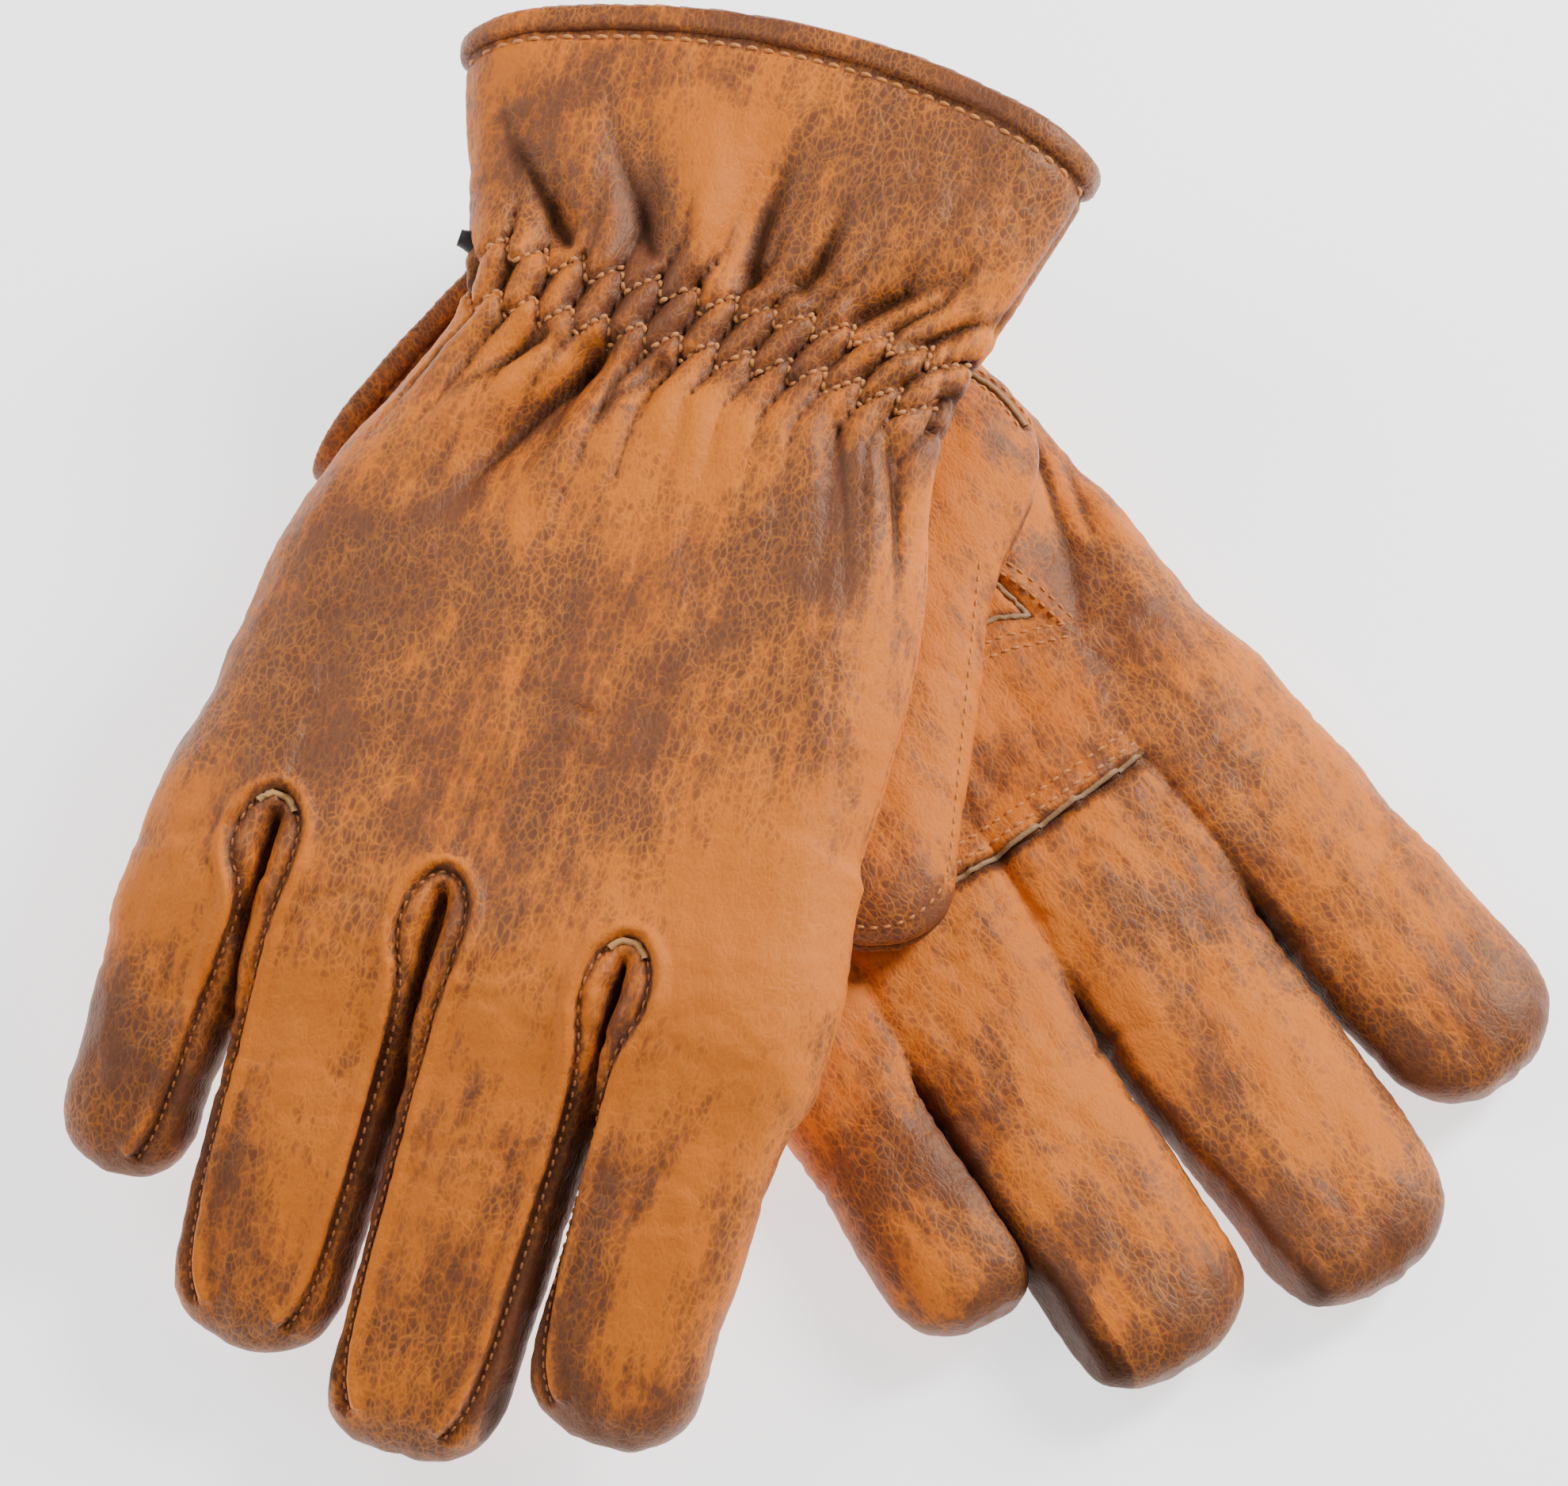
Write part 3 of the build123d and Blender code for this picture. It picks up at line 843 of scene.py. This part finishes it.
def leather_material(name, balance=0.0, smoothness=0.0):
    """Two-tone leather: brown finish over tan, worn through at creases, with a pebbled grain, and the painted
    shade and wear that the mesh carries.

    A higher balance is browner and a higher smoothness is shinier.
    """
    material, tree, shader = new_material(name)
    rest = add_node(tree, "ShaderNodeAttribute", attribute_name="rest").outputs["Vector"]
    # The painted shade and wear carried by the mesh; it also pushes the mottling towards brown.
    shade_and_wear = add_node(tree, "ShaderNodeAttribute", attribute_name="shade_and_wear").outputs["Fac"]
    tone = add_node(tree, "ShaderNodeAttribute", attribute_name="tone").outputs["Fac"]

    wander = add_node(tree, "ShaderNodeTexNoise", {"Vector": rest, "Scale": 0.16, "Detail": 2.0})
    shift = add_node(tree, "ShaderNodeVectorMath", {0: wander.outputs["Color"]}, operation="SCALE")
    shift.inputs["Scale"].default_value = 2.4
    warp = add_node(tree, "ShaderNodeVectorMath", {0: rest, 1: shift.outputs[0]}, operation="ADD")
    warped = warp.outputs[0]

    clouds = noise(tree, turned(tree, rest, 0.5, (1.0, 0.55, 1.0)), 0.033, 7.0, 0.60, 0.9)
    patches = noise(tree, rest, 0.15, 5.0, 0.64, 0.5)
    streaks = noise(tree, turned(tree, rest, -0.85, (1.0, 0.13, 1.0)), 0.62, 4.0, 0.62)
    fine = noise(tree, rest, 1.9, 5.0, 0.7)
    pebbles = creases(tree, turned(tree, warped, 0.6, (1.0, 0.62, 1.0)), 0.92)
    long_creases = creases(tree, turned(tree, warped, -0.5, (1.0, 0.42, 1.0)), 0.46)

    pebble_tops = ramp(tree, pebbles, [(0.0, 0), (0.20, 0.8), (0.42, 1)])
    long_tops = ramp(tree, long_creases, [(0.0, 0), (0.07, 0.75), (0.25, 1)])
    mottle = weighted(tree, [
        (clouds, 0.84), (patches, 0.26), (streaks, 0.30), (fine, 0.08), (shade_and_wear, 0.24), (tone, 1.0),
        (pebble_tops, 0.055), (long_tops, 0.035),
    ])
    mottle = maths(tree, "ADD", mottle, balance - 0.302)
    burnish = ramp(tree, mottle, [(0.43, 0), (0.50, 0.5), (0.57, 0.9), (0.68, 1)])

    markings = ramp(tree, noise(tree, rest, 0.055, 3.0, 0.5), [(0.42, 0.12), (0.58, 1)])
    pebble_lines = ramp(tree, pebbles, [(0.0, 1), (0.07, 0.5), (0.16, 0)])
    long_lines = ramp(tree, long_creases, [(0.0, 1), (0.03, 0.5), (0.08, 0)])
    tan_tone = shades(tree, fine, TAN, 0.80, 1.26)
    brown_tone = shades(tree, fine, BROWN, 0.80, 1.90)
    colour = mix_colour(tree, burnish, tan_tone, brown_tone)
    line_share = maths(tree, "MULTIPLY", markings, maths(tree, "MULTIPLY", pebble_lines, 0.30))
    colour = mix_colour(tree, line_share, colour, TAN_LIGHT)
    long_share = maths(tree, "MULTIPLY", markings, maths(tree, "MULTIPLY", long_lines, 0.26))
    colour = mix_colour(tree, long_share, colour, TAN_LIGHT)
    # Painted shade and wear: the colour goes towards the deep brown, with less specular there.
    deep = ramp(tree, shade_and_wear, [(0.25, 0), (0.95, 0.86)])
    tree.links.new(mix_colour(tree, deep, colour, SHADE_AND_WEAR_BROWN), shader.inputs["Base Color"])
    gloss = maths(tree, "MULTIPLY_ADD", deep, -0.34, 0.38)
    tree.links.new(gloss, shader.inputs["Specular IOR Level"])

    rough = ramp(tree, burnish, [(0.0, 0.56), (1.0, 0.40)])
    rough = maths(tree, "ADD", rough, maths(tree, "MULTIPLY", fine, 0.12))
    rough = maths(tree, "SUBTRACT", rough, smoothness)
    tree.links.new(rough, shader.inputs["Roughness"])
    shader.inputs["Specular Tint"].default_value = (1.0, 0.78, 0.60, 1.0)
    shader.inputs["Sheen Weight"].default_value = 0.03
    shader.inputs["Sheen Roughness"].default_value = 0.5
    shader.inputs["Sheen Tint"].default_value = (0.9, 0.5, 0.25, 1.0)

    height = weighted(tree, [(pebble_tops, 0.13), (long_tops, 0.10), (fine, 0.16), (patches, 0.65)])
    grain = add_node(tree, "ShaderNodeBump", {"Height": height, "Strength": 0.55, "Distance": 0.0007})
    tree.links.new(grain.outputs[0], shader.inputs["Normal"])
    return material


def thread_material(name, colour):
    """A matt twisted fibre."""
    material, tree, shader = new_material(name)
    place_in = add_node(tree, "ShaderNodeTexCoord").outputs["Object"]
    twist = noise(tree, place_in, 2400.0, 2.0, 0.5)
    tree.links.new(shades(tree, twist, colour, 0.70, 1.25), shader.inputs["Base Color"])
    shader.inputs["Roughness"].default_value = 0.62
    shader.inputs["Sheen Weight"].default_value = 0.25
    bump_node = add_node(tree, "ShaderNodeBump", {"Height": twist, "Strength": 0.5, "Distance": 0.0002})
    tree.links.new(bump_node.outputs[0], shader.inputs["Normal"])
    return material


LEATHER_LOOK = leather_material("leather_two_tone")
BINDING_LOOK = leather_material("leather_binding", balance=0.10, smoothness=0.05)
THREAD_LOOK = thread_material("thread_tan", (0.56, 0.20, 0.038))
RAW_EDGE_LOOK = thread_material("raw_leather_edge", (0.33, 0.18, 0.07))
RAW_FIBRE_LOOK = thread_material("raw_leather_fibre", (0.52, 0.27, 0.08))
SEAM_THREAD_LOOK = thread_material("seam_thread", (0.42, 0.13, 0.025))
ELASTIC_LOOK = thread_material("woven_elastic", (0.20, 0.11, 0.06))
CORD_LOOK = thread_material("black_cord", (0.012, 0.012, 0.013))
# What a skin and the stitches and raw edges on it are made of, by material index.
LOOKS = [LEATHER_LOOK, THREAD_LOOK, RAW_EDGE_LOOK, RAW_FIBRE_LOOK, SEAM_THREAD_LOOK]
LEATHER, THREAD, RAW_EDGE, RAW_FIBRE, SEAM_THREAD = range(len(LOOKS))


# ------------------------------------------------------ meshes


def new_piece(name, points, faces, materials, face_materials=None, normals=None, markings=None):
    """A mesh object; its last argument holds its rest places, painted shade and wear, and tone for the
    leather's look.
    """
    mesh = bpy.data.meshes.new(name)
    mesh.from_pydata(points.tolist(), [], [tuple(face) for face in faces])
    for material in materials:
        mesh.materials.append(material)
    if face_materials is not None:
        mesh.polygons.foreach_set("material_index", np.asarray(face_materials, np.int32))
    mesh.polygons.foreach_set("use_smooth", np.ones(len(mesh.polygons), bool))
    if markings is not None:
        rest, shade_and_wear, tone = (np.asarray(values, np.float32) for values in markings)
        mesh.attributes.new("rest", "FLOAT_VECTOR", "POINT").data.foreach_set("vector", rest.ravel())
        mesh.attributes.new("shade_and_wear", "FLOAT", "POINT").data.foreach_set("value", shade_and_wear)
        mesh.attributes.new("tone", "FLOAT", "POINT").data.foreach_set("value", tone)
    mesh.update()
    if normals is not None:
        mesh.normals_split_custom_set_from_vertices(normals.tolist())
    piece = bpy.data.objects.new(name, mesh)
    bpy.context.scene.collection.objects.link(piece)
    return piece


def tube_faces(rings, sides):
    """The faces that join rings of points, each ring to the next."""
    faces = []
    for ring in range(rings - 1):
        for k in range(sides):
            a = ring * sides + k
            b = ring * sides + (k + 1) % sides
            faces.append((a, b, b + sides, a + sides))
    return faces


def closed_tube_faces(rings, sides):
    """A tube's faces with both its ends."""
    ends = [tuple(range(sides - 1, -1, -1)), tuple(range((rings - 1) * sides, rings * sides))]
    return tube_faces(rings, sides) + ends


def around(k, sides):
    """The cosine and sine of a place round a tube."""
    turn = 2 * math.pi * k / sides
    return math.cos(turn), math.sin(turn)


# One stitch, 1 long: place along it, thickness and rise of each ring of points, half buried at its ends.
STITCH_RINGS = [
    (-0.5, 0.35, -0.5), (-0.32, 0.85, 0.1), (0.0, 1.0, 0.42), (0.32, 0.85, 0.1), (0.5, 0.35, -0.5),
]
STITCH_SIDES = 6
STITCH_SINK = 0.1
STITCH_POINTS = []
for ring_x, ring_thick, ring_lift in STITCH_RINGS:
    for corner in range(STITCH_SIDES):
        ring_cos, ring_sin = around(corner, STITCH_SIDES)
        STITCH_POINTS.append((ring_x, ring_thick * ring_cos, ring_thick * ring_sin + ring_lift - STITCH_SINK))
STITCH_FACES = closed_tube_faces(len(STITCH_RINGS), STITCH_SIDES)


def stitch_row(stitches, look):
    """Points, faces and material of a row of stitches."""
    size = len(STITCH_POINTS)
    faces = [tuple(order * size + i for i in face) for order in range(len(stitches)) for face in STITCH_FACES]
    return stitches.reshape(-1, 3), faces, look


def walk(line, pitch, offset=0.0):
    """Evenly spaced places and directions along a flat line."""
    p = np.array(line, float)
    lengths = np.hypot(*(p[1:] - p[:-1]).T)
    total = np.concatenate([[0], np.cumsum(lengths)])
    stops = np.arange(pitch * 0.5, total[-1], pitch)
    u = np.interp(stops, total, p[:, 0])
    v = np.interp(stops, total, p[:, 1])
    ahead, behind = np.minimum(stops + 0.3, total[-1]), stops - 0.3
    du = np.interp(ahead, total, p[:, 0]) - np.interp(behind, total, p[:, 0])
    dv = np.interp(ahead, total, p[:, 1]) - np.interp(behind, total, p[:, 1])
    size = np.maximum(np.hypot(du, dv), 1e-6)
    return u - dv / size * offset, v + du / size * offset, du / size, dv / size


class Skin:
    """A leather surface, which stitches and raw edges are laid on."""

    def __init__(self, points, quads):
        self.tree = BVHTree.FromPolygons(points.tolist(), quads.tolist())

    def drop(self, u, v, side):
        """Where a straight line from above (side 1) or below (side -1) meets the skin."""
        spot, normal, _, _ = self.tree.ray_cast(Vector((u, v, 40.0 * side)), Vector((0, 0, -side)))
        return spot, normal

    def stitches(self, line, side, pitch, length, radius, offset=0.0):
        """The points of each stitch in a row along a flat line."""
        made = []
        for u, v, du, dv in zip(*walk(line, pitch, offset)):
            spot, normal = self.drop(u, v, side)
            if spot is None or normal.z * side < 0.12:
                continue
            along = Vector((du, dv, 0))
            along = (along - normal * along.dot(normal)).normalized()
            across = normal.cross(along)
            made.append([
                tuple(spot + along * (x * length) + across * (y * radius) + normal * (z * radius))
                for x, y, z in STITCH_POINTS
            ])
        return np.array(made).reshape(-1, len(STITCH_POINTS), 3)

    def strip(self, line, side, radius, lift, look, sides=6):
        """A thin uneven tube lying on the skin along a flat line, such as a raw edge."""
        points = []
        for u, v, du, dv in zip(*walk(line, 0.9)):
            spot, normal = self.drop(u, v, side)
            if spot is None:
                continue
            across = normal.cross(Vector((du, dv, 0))).normalized()
            ring = len(points) // sides
            for k in range(sides):
                cosine, sine = around(k, sides)
                wide = radius * (1 + 0.18 * math.sin(ring * 2.1 + k))
                points.append(tuple(spot + normal * (lift + radius * sine) + across * (wide * cosine)))
        return np.array(points), tube_faces(len(points) // sides, sides), look


def zigzag(glove, upper):
    """The line of stitches along one side of the gathered row: one tooth per puff."""
    start, end = GATHER_ENDS[glove]
    points = []
    for phase in np.arange(0.0, GATHER_COUNT + 0.01, 0.25):
        v = float(tooth_line(phase, upper))
        u = start + (end - start) * phase / GATHER_COUNT
        for _ in range(4):
            u += (phase - gather_phase(glove, u, v)) * (end - start) / GATHER_COUNT
        points.append((u, v))
    return points


def merge(parts):
    """Joins lists of (points, faces, material index)."""
    points, faces, indices = [], [], []
    start = 0
    for part_points, part_faces, index in parts:
        if len(part_points) == 0:
            continue
        points.append(part_points)
        faces += [tuple(start + i for i in face) for face in part_faces]
        indices += [index] * len(part_faces)
        start += len(part_points)
    return np.vstack(points), faces, indices


def wound(glove, faces):
    """Faces turned outwards: the left glove's frame is the right-handed one."""
    return faces if glove == "left" else [face[::-1] for face in faces]


def skin_normals(placed, lifted):
    """The way out of the leather, then zeros for what is sewn on, which keeps its own."""
    direction = lifted - placed[:len(lifted)]
    direction /= np.linalg.norm(direction, axis=1, keepdims=True)
    return np.vstack([direction, np.zeros((len(placed) - len(lifted), 3))])


def lengthened(values, count):
    """Values with zeros after them, one for each point that is sewn on."""
    return np.concatenate([values, np.zeros(count - len(values))])


def region_of(glove, places):
    """0 for the hand, 1 to 4 for the finger a place belongs to."""
    u, v, w = places.T
    passed = sum(np.where(side > 0, 1, 0) for side in slot_sides(glove, u, v, w))
    nearest = len(FINGERS) - passed
    region = np.zeros(len(places), int)
    for number, finger in enumerate(FINGERS, 1):
        _, along, _, _ = finger_local(glove, finger, u, v)
        region[(nearest == number) & (along > 0)] = number
    return region


def sew_glove(glove, skin):
    """Stitches and raw edges in five lists: the hand's, then each finger's."""
    rows = [[] for _ in range(5)]
    side = SEEN_SIDE[glove]

    def sew(line, look=THREAD, **choices):
        """Adds a row, each stitch to the part it lies on."""
        stitches = skin.stitches(line, side, **choices)
        under = region_of(glove, stitches.mean(1))
        for number in range(5):
            rows[number].append(stitch_row(stitches[under == number], look))

    hem_row = [(u, hem_line(glove, u) + BINDING_WIDTH + 1.0) for u in np.arange(-100.0, 62.0, 3.0)]
    sew(hem_row, **HEM_STITCH)
    sew(zigzag(glove, True), **GATHER_STITCH)
    sew(zigzag(glove, False), **GATHER_STITCH)
    if glove == "left":
        for offset in (1.8, 4.6):
            sew(GUNN_SEAM, offset=offset, **PALM_STITCH)
        for offset in (-0.4, 2.0):
            sew(KEYSTONE_OUTER, offset=offset, **KEYSTONE_STITCH)
        for line in (GUNN_SEAM, KEYSTONE_INNER):
            rows[0].append(skin.strip(line, side, 0.55, 0.1, RAW_EDGE))
    else:
        for line in SEAMS[glove]:
            sew(line, look=SEAM_THREAD, **SLOT_STITCH)
        for cu, cv in (SLOTS[glove][0][0], SLOTS[glove][2][0]):
            turns = np.linspace(1.12 * math.pi, 1.88 * math.pi, 9)
            arc = [(cu + 3.5 * math.cos(turn), cv + 0.4 + 3.9 * math.sin(turn)) for turn in turns]
            rows[0].append(skin.strip(arc, side, 0.62, 0.25, RAW_FIBRE))
    return rows


def build_skins(glove, outer, skin, low):
    """The hand's skin and the four finger skins that bend out of it, cut from one surface."""
    points, quads = surface(skin, low)
    owner = region_of(glove, points[quads].mean(1))
    depth, shade_and_wear = relief(glove, points)
    facing = np.clip(1 + 2 * (sample(outer, low, points) + 0.3), -1, 1)
    points = rested(glove, points + vertex_normals(points, quads) * (facing * depth)[:, None])
    normals = vertex_normals(points, quads)
    rows = sew_glove(glove, Skin(points, quads))

    for number in range(5):
        finger = None if number == 0 else FINGERS[number - 1]
        used, index = np.unique(quads[owner == number], return_inverse=True)
        leather = (points[used], index.reshape(-1, 4).tolist(), LEATHER)
        all_points, all_faces, indices = merge([leather] + rows[number])
        placed = place(glove, all_points, finger)
        lifted = place(glove, points[used] + 0.05 * normals[used], finger)
        tone = burnish_tone(glove, all_points[:, 0], all_points[:, 1])
        markings = (all_points, lengthened(shade_and_wear[used], len(placed)), tone)
        faces = wound(glove, all_faces)
        name = f"{glove}_{finger or 'hand'}_skin"
        piece = new_piece(name, placed, faces, LOOKS, indices, skin_normals(placed, lifted), markings)
        if finger is None:
            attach(piece, f"{glove}_hand")
            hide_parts(f"{glove}_hand_back", f"{glove}_palm", f"{glove}_thumb_keystone")
        else:
            bend = [(*finger_point(glove, finger, 0, along), 0.0) for along in FINGER_BEND]
            ends = place(glove, np.array(bend), finger)
            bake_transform(piece)
            nodes = [f"{glove}_{finger}_back", f"{glove}_{finger}_front", f"{glove}_{finger}_fork"]
            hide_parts(*[node for node in nodes if node in frame["nodes"]])


def build_hem_roll(glove, outer, hem, low):
    """The binding rolled round the hem."""
    middle = BINDING_WIDTH / 2
    roll = soft_max(np.abs(outer + 0.35) - 1.35, np.abs(hem - middle) - middle, 1.6)
    points, quads = surface(roll, low)
    waves = 0.16 * lumps(points, 16, 0.4)
    points = rested(glove, points + vertex_normals(points, quads) * waves[:, None])
    # Painted shade where the binding meets the skin below it.
    shade_and_wear = 0.4 * bump(points[:, 1] - hem_line(glove, points[:, 0]) - BINDING_WIDTH, 1.0)
    markings = (points, shade_and_wear, 0 * shade_and_wear)
    faces = wound(glove, quads.tolist())
    ring = new_piece(f"{glove}_hem_roll", place(glove, points), faces, [BINDING_LOOK], markings=markings)
    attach(ring, f"{glove}_hand")
    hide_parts(f"{glove}_hem_binding")


def build_elastic(glove, outer, v, low):
    """The elastic inside the wrist."""
    band = soft_max(np.abs(outer + 3.4) - 0.6, np.abs(v - GATHER_V) - 8.0, 0.4)
    points, quads = surface(band, low)
    faces = wound(glove, quads.tolist())
    elastic = new_piece(f"{glove}_inner_elastic", place(glove, points), faces, [ELASTIC_LOOK])
    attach(elastic, f"{glove}_hand")
    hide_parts(f"{glove}_wrist_elastic")


def build_glove(glove):
    """Everything of a glove but its thumb, all shaped from one field."""
    low = (CUFF_END[glove], -72.0, -15.0)
    u, v, w = grid_points(low, (62.0, 208.0, 15.0))
    outer = glove_field(glove, u, v, w)
    hem = v - hem_line(glove, u)
    cavity = soft_max(outer + LEATHER_THICK, v - CAVITY_END, 4.0)
    skin = soft_max(np.maximum(outer, -cavity), 1.5 - hem, 0.5)
    build_skins(glove, outer, skin, low)
    build_hem_roll(glove, outer, hem, low)
    build_elastic(glove, outer, v, low)


def thumb_field(glove, x, y, z):
    """A flattened stall with a round root, in the thumb's own frame: y along it, z through it."""
    _, _, length, _, half, thick = THUMBS[glove]
    root_radius = half + THUMB_ROOT_EXTRA
    cap_start = length - 0.95 * half
    shrink = rounded_end((y - cap_start) / (length - cap_start), THUMB_POWER) * rounded_end(-y / half, 2.2)
    width = np.maximum(half * (1 - 0.08 * smooth(y / length, 0.25, 0.85)) * shrink, 0.4)
    height = np.maximum(thick * shrink**0.85, 0.4)
    stall = (superellipse(x / width, z / height, THUMB_POWER) - 1) * np.minimum(width, height)
    stall = np.maximum(stall, np.maximum(y - length, -half - y))
    disc = (superellipse(np.hypot(x, y) / root_radius, z / thick, 2.6) - 1) * thick
    return soft_min(stall, disc, 4.0)


def thumb_relief(glove, points):
    """How far the thumb's skin stands out, mm, its painted shade and wear, and its tone."""
    _, _, length, _, half, _ = THUMBS[glove]
    across, along, through = points.T
    depth = 0.35 * lumps(points, 24, 0.5) + 0.16 * lumps(points, 9, 0.2)
    seam = bump(np.abs(through - 0.8), 1.0)
    depth = depth - 0.8 * seam + 0.3 * bump(np.abs(through) - 2.4, 2.0)
    for at in THUMB_CREASES:
        depth = depth - 0.25 * bump(along - at * length - 1.5 * np.sin(across * 0.3 + at * 20), 2.0)
    root_distance, _, _ = line_distance(across, along, THUMB_ROOT_SEAM)
    root_seam = bump(root_distance, 1.6) * smooth(-through, 0, 3)
    # Painted shade in the seam grooves, and darker towards the tip.
    shade_and_wear = 0.7 * root_seam + 0.7 * seam + 0.25 * smooth(along / length, 0.8, 1.0)
    tone = 0.02 + 0.10 * smooth(along / length, 0.72, 1.0) + 0.07 * smooth(-across / half, 0.2, 1.0)
    return depth - 0.7 * root_seam, shade_and_wear, tone


def thumb_to_hand(glove, points):
    """The thumb's own frame to the hand frame."""
    root_u, root_v, _, splay, _, _ = THUMBS[glove]
    angle = math.radians(splay)
    across, along, through = points.T
    u = root_u + across * math.cos(angle) + along * math.sin(angle)
    v = root_v - across * math.sin(angle) + along * math.cos(angle)
    return np.stack([u, v, through - THUMB_DROP], 1)


def build_thumb(glove):
    """The set-in thumb: one flattened stall lying on the palm side, with a seam round its edge."""
    _, _, length, _, half, thick = THUMBS[glove]
    reach = half + THUMB_ROOT_EXTRA + 4.0
    low = (-reach, -reach, -thick - 3.0)
    field = thumb_field(glove, *grid_points(low, (reach, length + 4.0, thick + 3.0)))
    points, quads = surface(field, low)
    depth, shade_and_wear, tone = thumb_relief(glove, points)
    points = points + vertex_normals(points, quads) * depth[:, None]
    normals = vertex_normals(points, quads)

    skin = Skin(points, quads)
    edge = half - 2.6
    turns = np.linspace(0, math.pi, 50)
    ring = [(edge * math.cos(turn), length - half + (half - 1.6) * math.sin(turn)) for turn in turns]
    edge_row = [(edge, 20.0), (edge, length * 0.5)] + ring + [(-edge, length * 0.5), (-edge, 20.0)]
    parts = [(points, quads.tolist(), LEATHER)]
    parts.append(stitch_row(skin.stitches(edge_row, -1, **THUMB_STITCH), THREAD))
    for offset in (-1.5, 1.5):
        root_row = skin.stitches(THUMB_ROOT_SEAM, -1, offset=offset, **THUMB_ROOT_STITCH)
        parts.append(stitch_row(root_row, THREAD))
    parts.append(skin.strip(THUMB_ROOT_SEAM, -1, 0.6, 0.15, RAW_EDGE))
    all_points, all_faces, indices = merge(parts)

    hand_points = thumb_to_hand(glove, all_points)
    placed = place(glove, hand_points)
    lifted = place(glove, thumb_to_hand(glove, points + 0.05 * normals))
    faces = wound(glove, all_faces)
    count = len(placed)
    markings = (hand_points + THUMB_HIDE_SHIFT, lengthened(shade_and_wear, count), lengthened(tone, count))
    looks = LOOKS[:3]
    name = f"{glove}_thumb_skin"
    piece = new_piece(name, placed, faces, looks, indices, skin_normals(placed, lifted), markings)
    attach(piece, f"{glove}_thumb")
    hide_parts(f"{glove}_thumb_outer", f"{glove}_thumb_inner")


def build_loop():
    """The black hang loop sewn into the right glove's little-finger seam."""
    path = []
    for share in np.linspace(0, 1, 26):
        turn = math.pi * share
        out = math.sin(turn)
        path.append((-44.5 - 6.4 * out, -11.2 + 5.4 * share + 0.9 * math.sin(2 * turn), 1.8 * out))
    path = np.array(path)
    points = []
    for index, spot in enumerate(path):
        ahead = path[min(index + 1, len(path) - 1)] - path[max(index - 1, 0)]
        ahead /= np.linalg.norm(ahead)
        across = np.cross(ahead, (0, 0, 1))
        across /= np.linalg.norm(across)
        up = np.cross(across, ahead)
        for k in range(LOOP_SIDES):
            cosine, sine = around(k, LOOP_SIDES)
            points.append(spot + LOOP_RADIUS * (across * cosine + up * sine))
    faces = closed_tube_faces(len(path), LOOP_SIDES)
    piece = new_piece("right_hang_loop_cord", place("right", np.array(points)), faces, [CORD_LOOK])
    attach(piece, "right_hand")
    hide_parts("right_hang_loop")


for glove_name in GLOVES:
    build_glove(glove_name)
    build_thumb(glove_name)
build_loop()

# ------------------------------------------------------ table, light, camera

floor_mesh = bpy.data.meshes.new("floor")
floor_mesh.from_pydata([(-3, -3, 0), (3, -3, 0), (3, 3, 0), (-3, 3, 0)], [], [(0, 1, 2, 3)])
floor = bpy.data.objects.new("floor", floor_mesh)
bpy.context.scene.collection.objects.link(floor)
floor_look, _, floor_shader = new_material("pale_floor")
floor_shader.inputs["Base Color"].default_value = (0.93, 0.93, 0.93, 1)
floor_shader.inputs["Roughness"].default_value = 0.9
floor_shader.inputs["Emission Color"].default_value = (1, 1, 1, 1)
floor_shader.inputs["Emission Strength"].default_value = 1.5
floor_mesh.materials.append(floor_look)

world = bpy.data.worlds.new("studio")
world.use_nodes = True
world.node_tree.nodes["Background"].inputs[0].default_value = (1.0, 1.0, 1.0, 1)
world.node_tree.nodes["Background"].inputs[1].default_value = 0.42
bpy.context.scene.world = world


def softbox(name, spot, size, power):
    """A soft rectangular light aimed at the gloves."""
    light = bpy.data.lights.new(name, "AREA")
    light.shape = "RECTANGLE"
    light.size, light.size_y = size
    light.energy = power
    holder = bpy.data.objects.new(name, light)
    holder.location = spot
    holder.rotation_euler = (-Vector(spot)).to_track_quat("-Z", "Y").to_euler()
    bpy.context.scene.collection.objects.link(holder)


softbox("key_softbox", (0.68, 0.42, 0.70), (0.30, 0.55), 17.0)
softbox("fill_softbox", (-0.75, 0.25, 0.7), (0.4, 0.7), 5.0)

TARGET = Vector((-0.0188, -0.0214, 0.020))
ELEVATION = math.radians(68.0)
DISTANCE = 0.9
camera_data = bpy.data.cameras.new("camera")
camera_data.sensor_width = 36.0
camera_data.lens = 121.2
camera_data.clip_start = 0.05
camera_data.clip_end = 20.0
camera = bpy.data.objects.new("camera", camera_data)
camera.location = TARGET + Vector((0, -math.cos(ELEVATION), math.sin(ELEVATION))) * DISTANCE
camera.rotation_euler = (TARGET - camera.location).to_track_quat("-Z", "Y").to_euler()
bpy.context.scene.collection.objects.link(camera)
bpy.context.scene.camera = camera
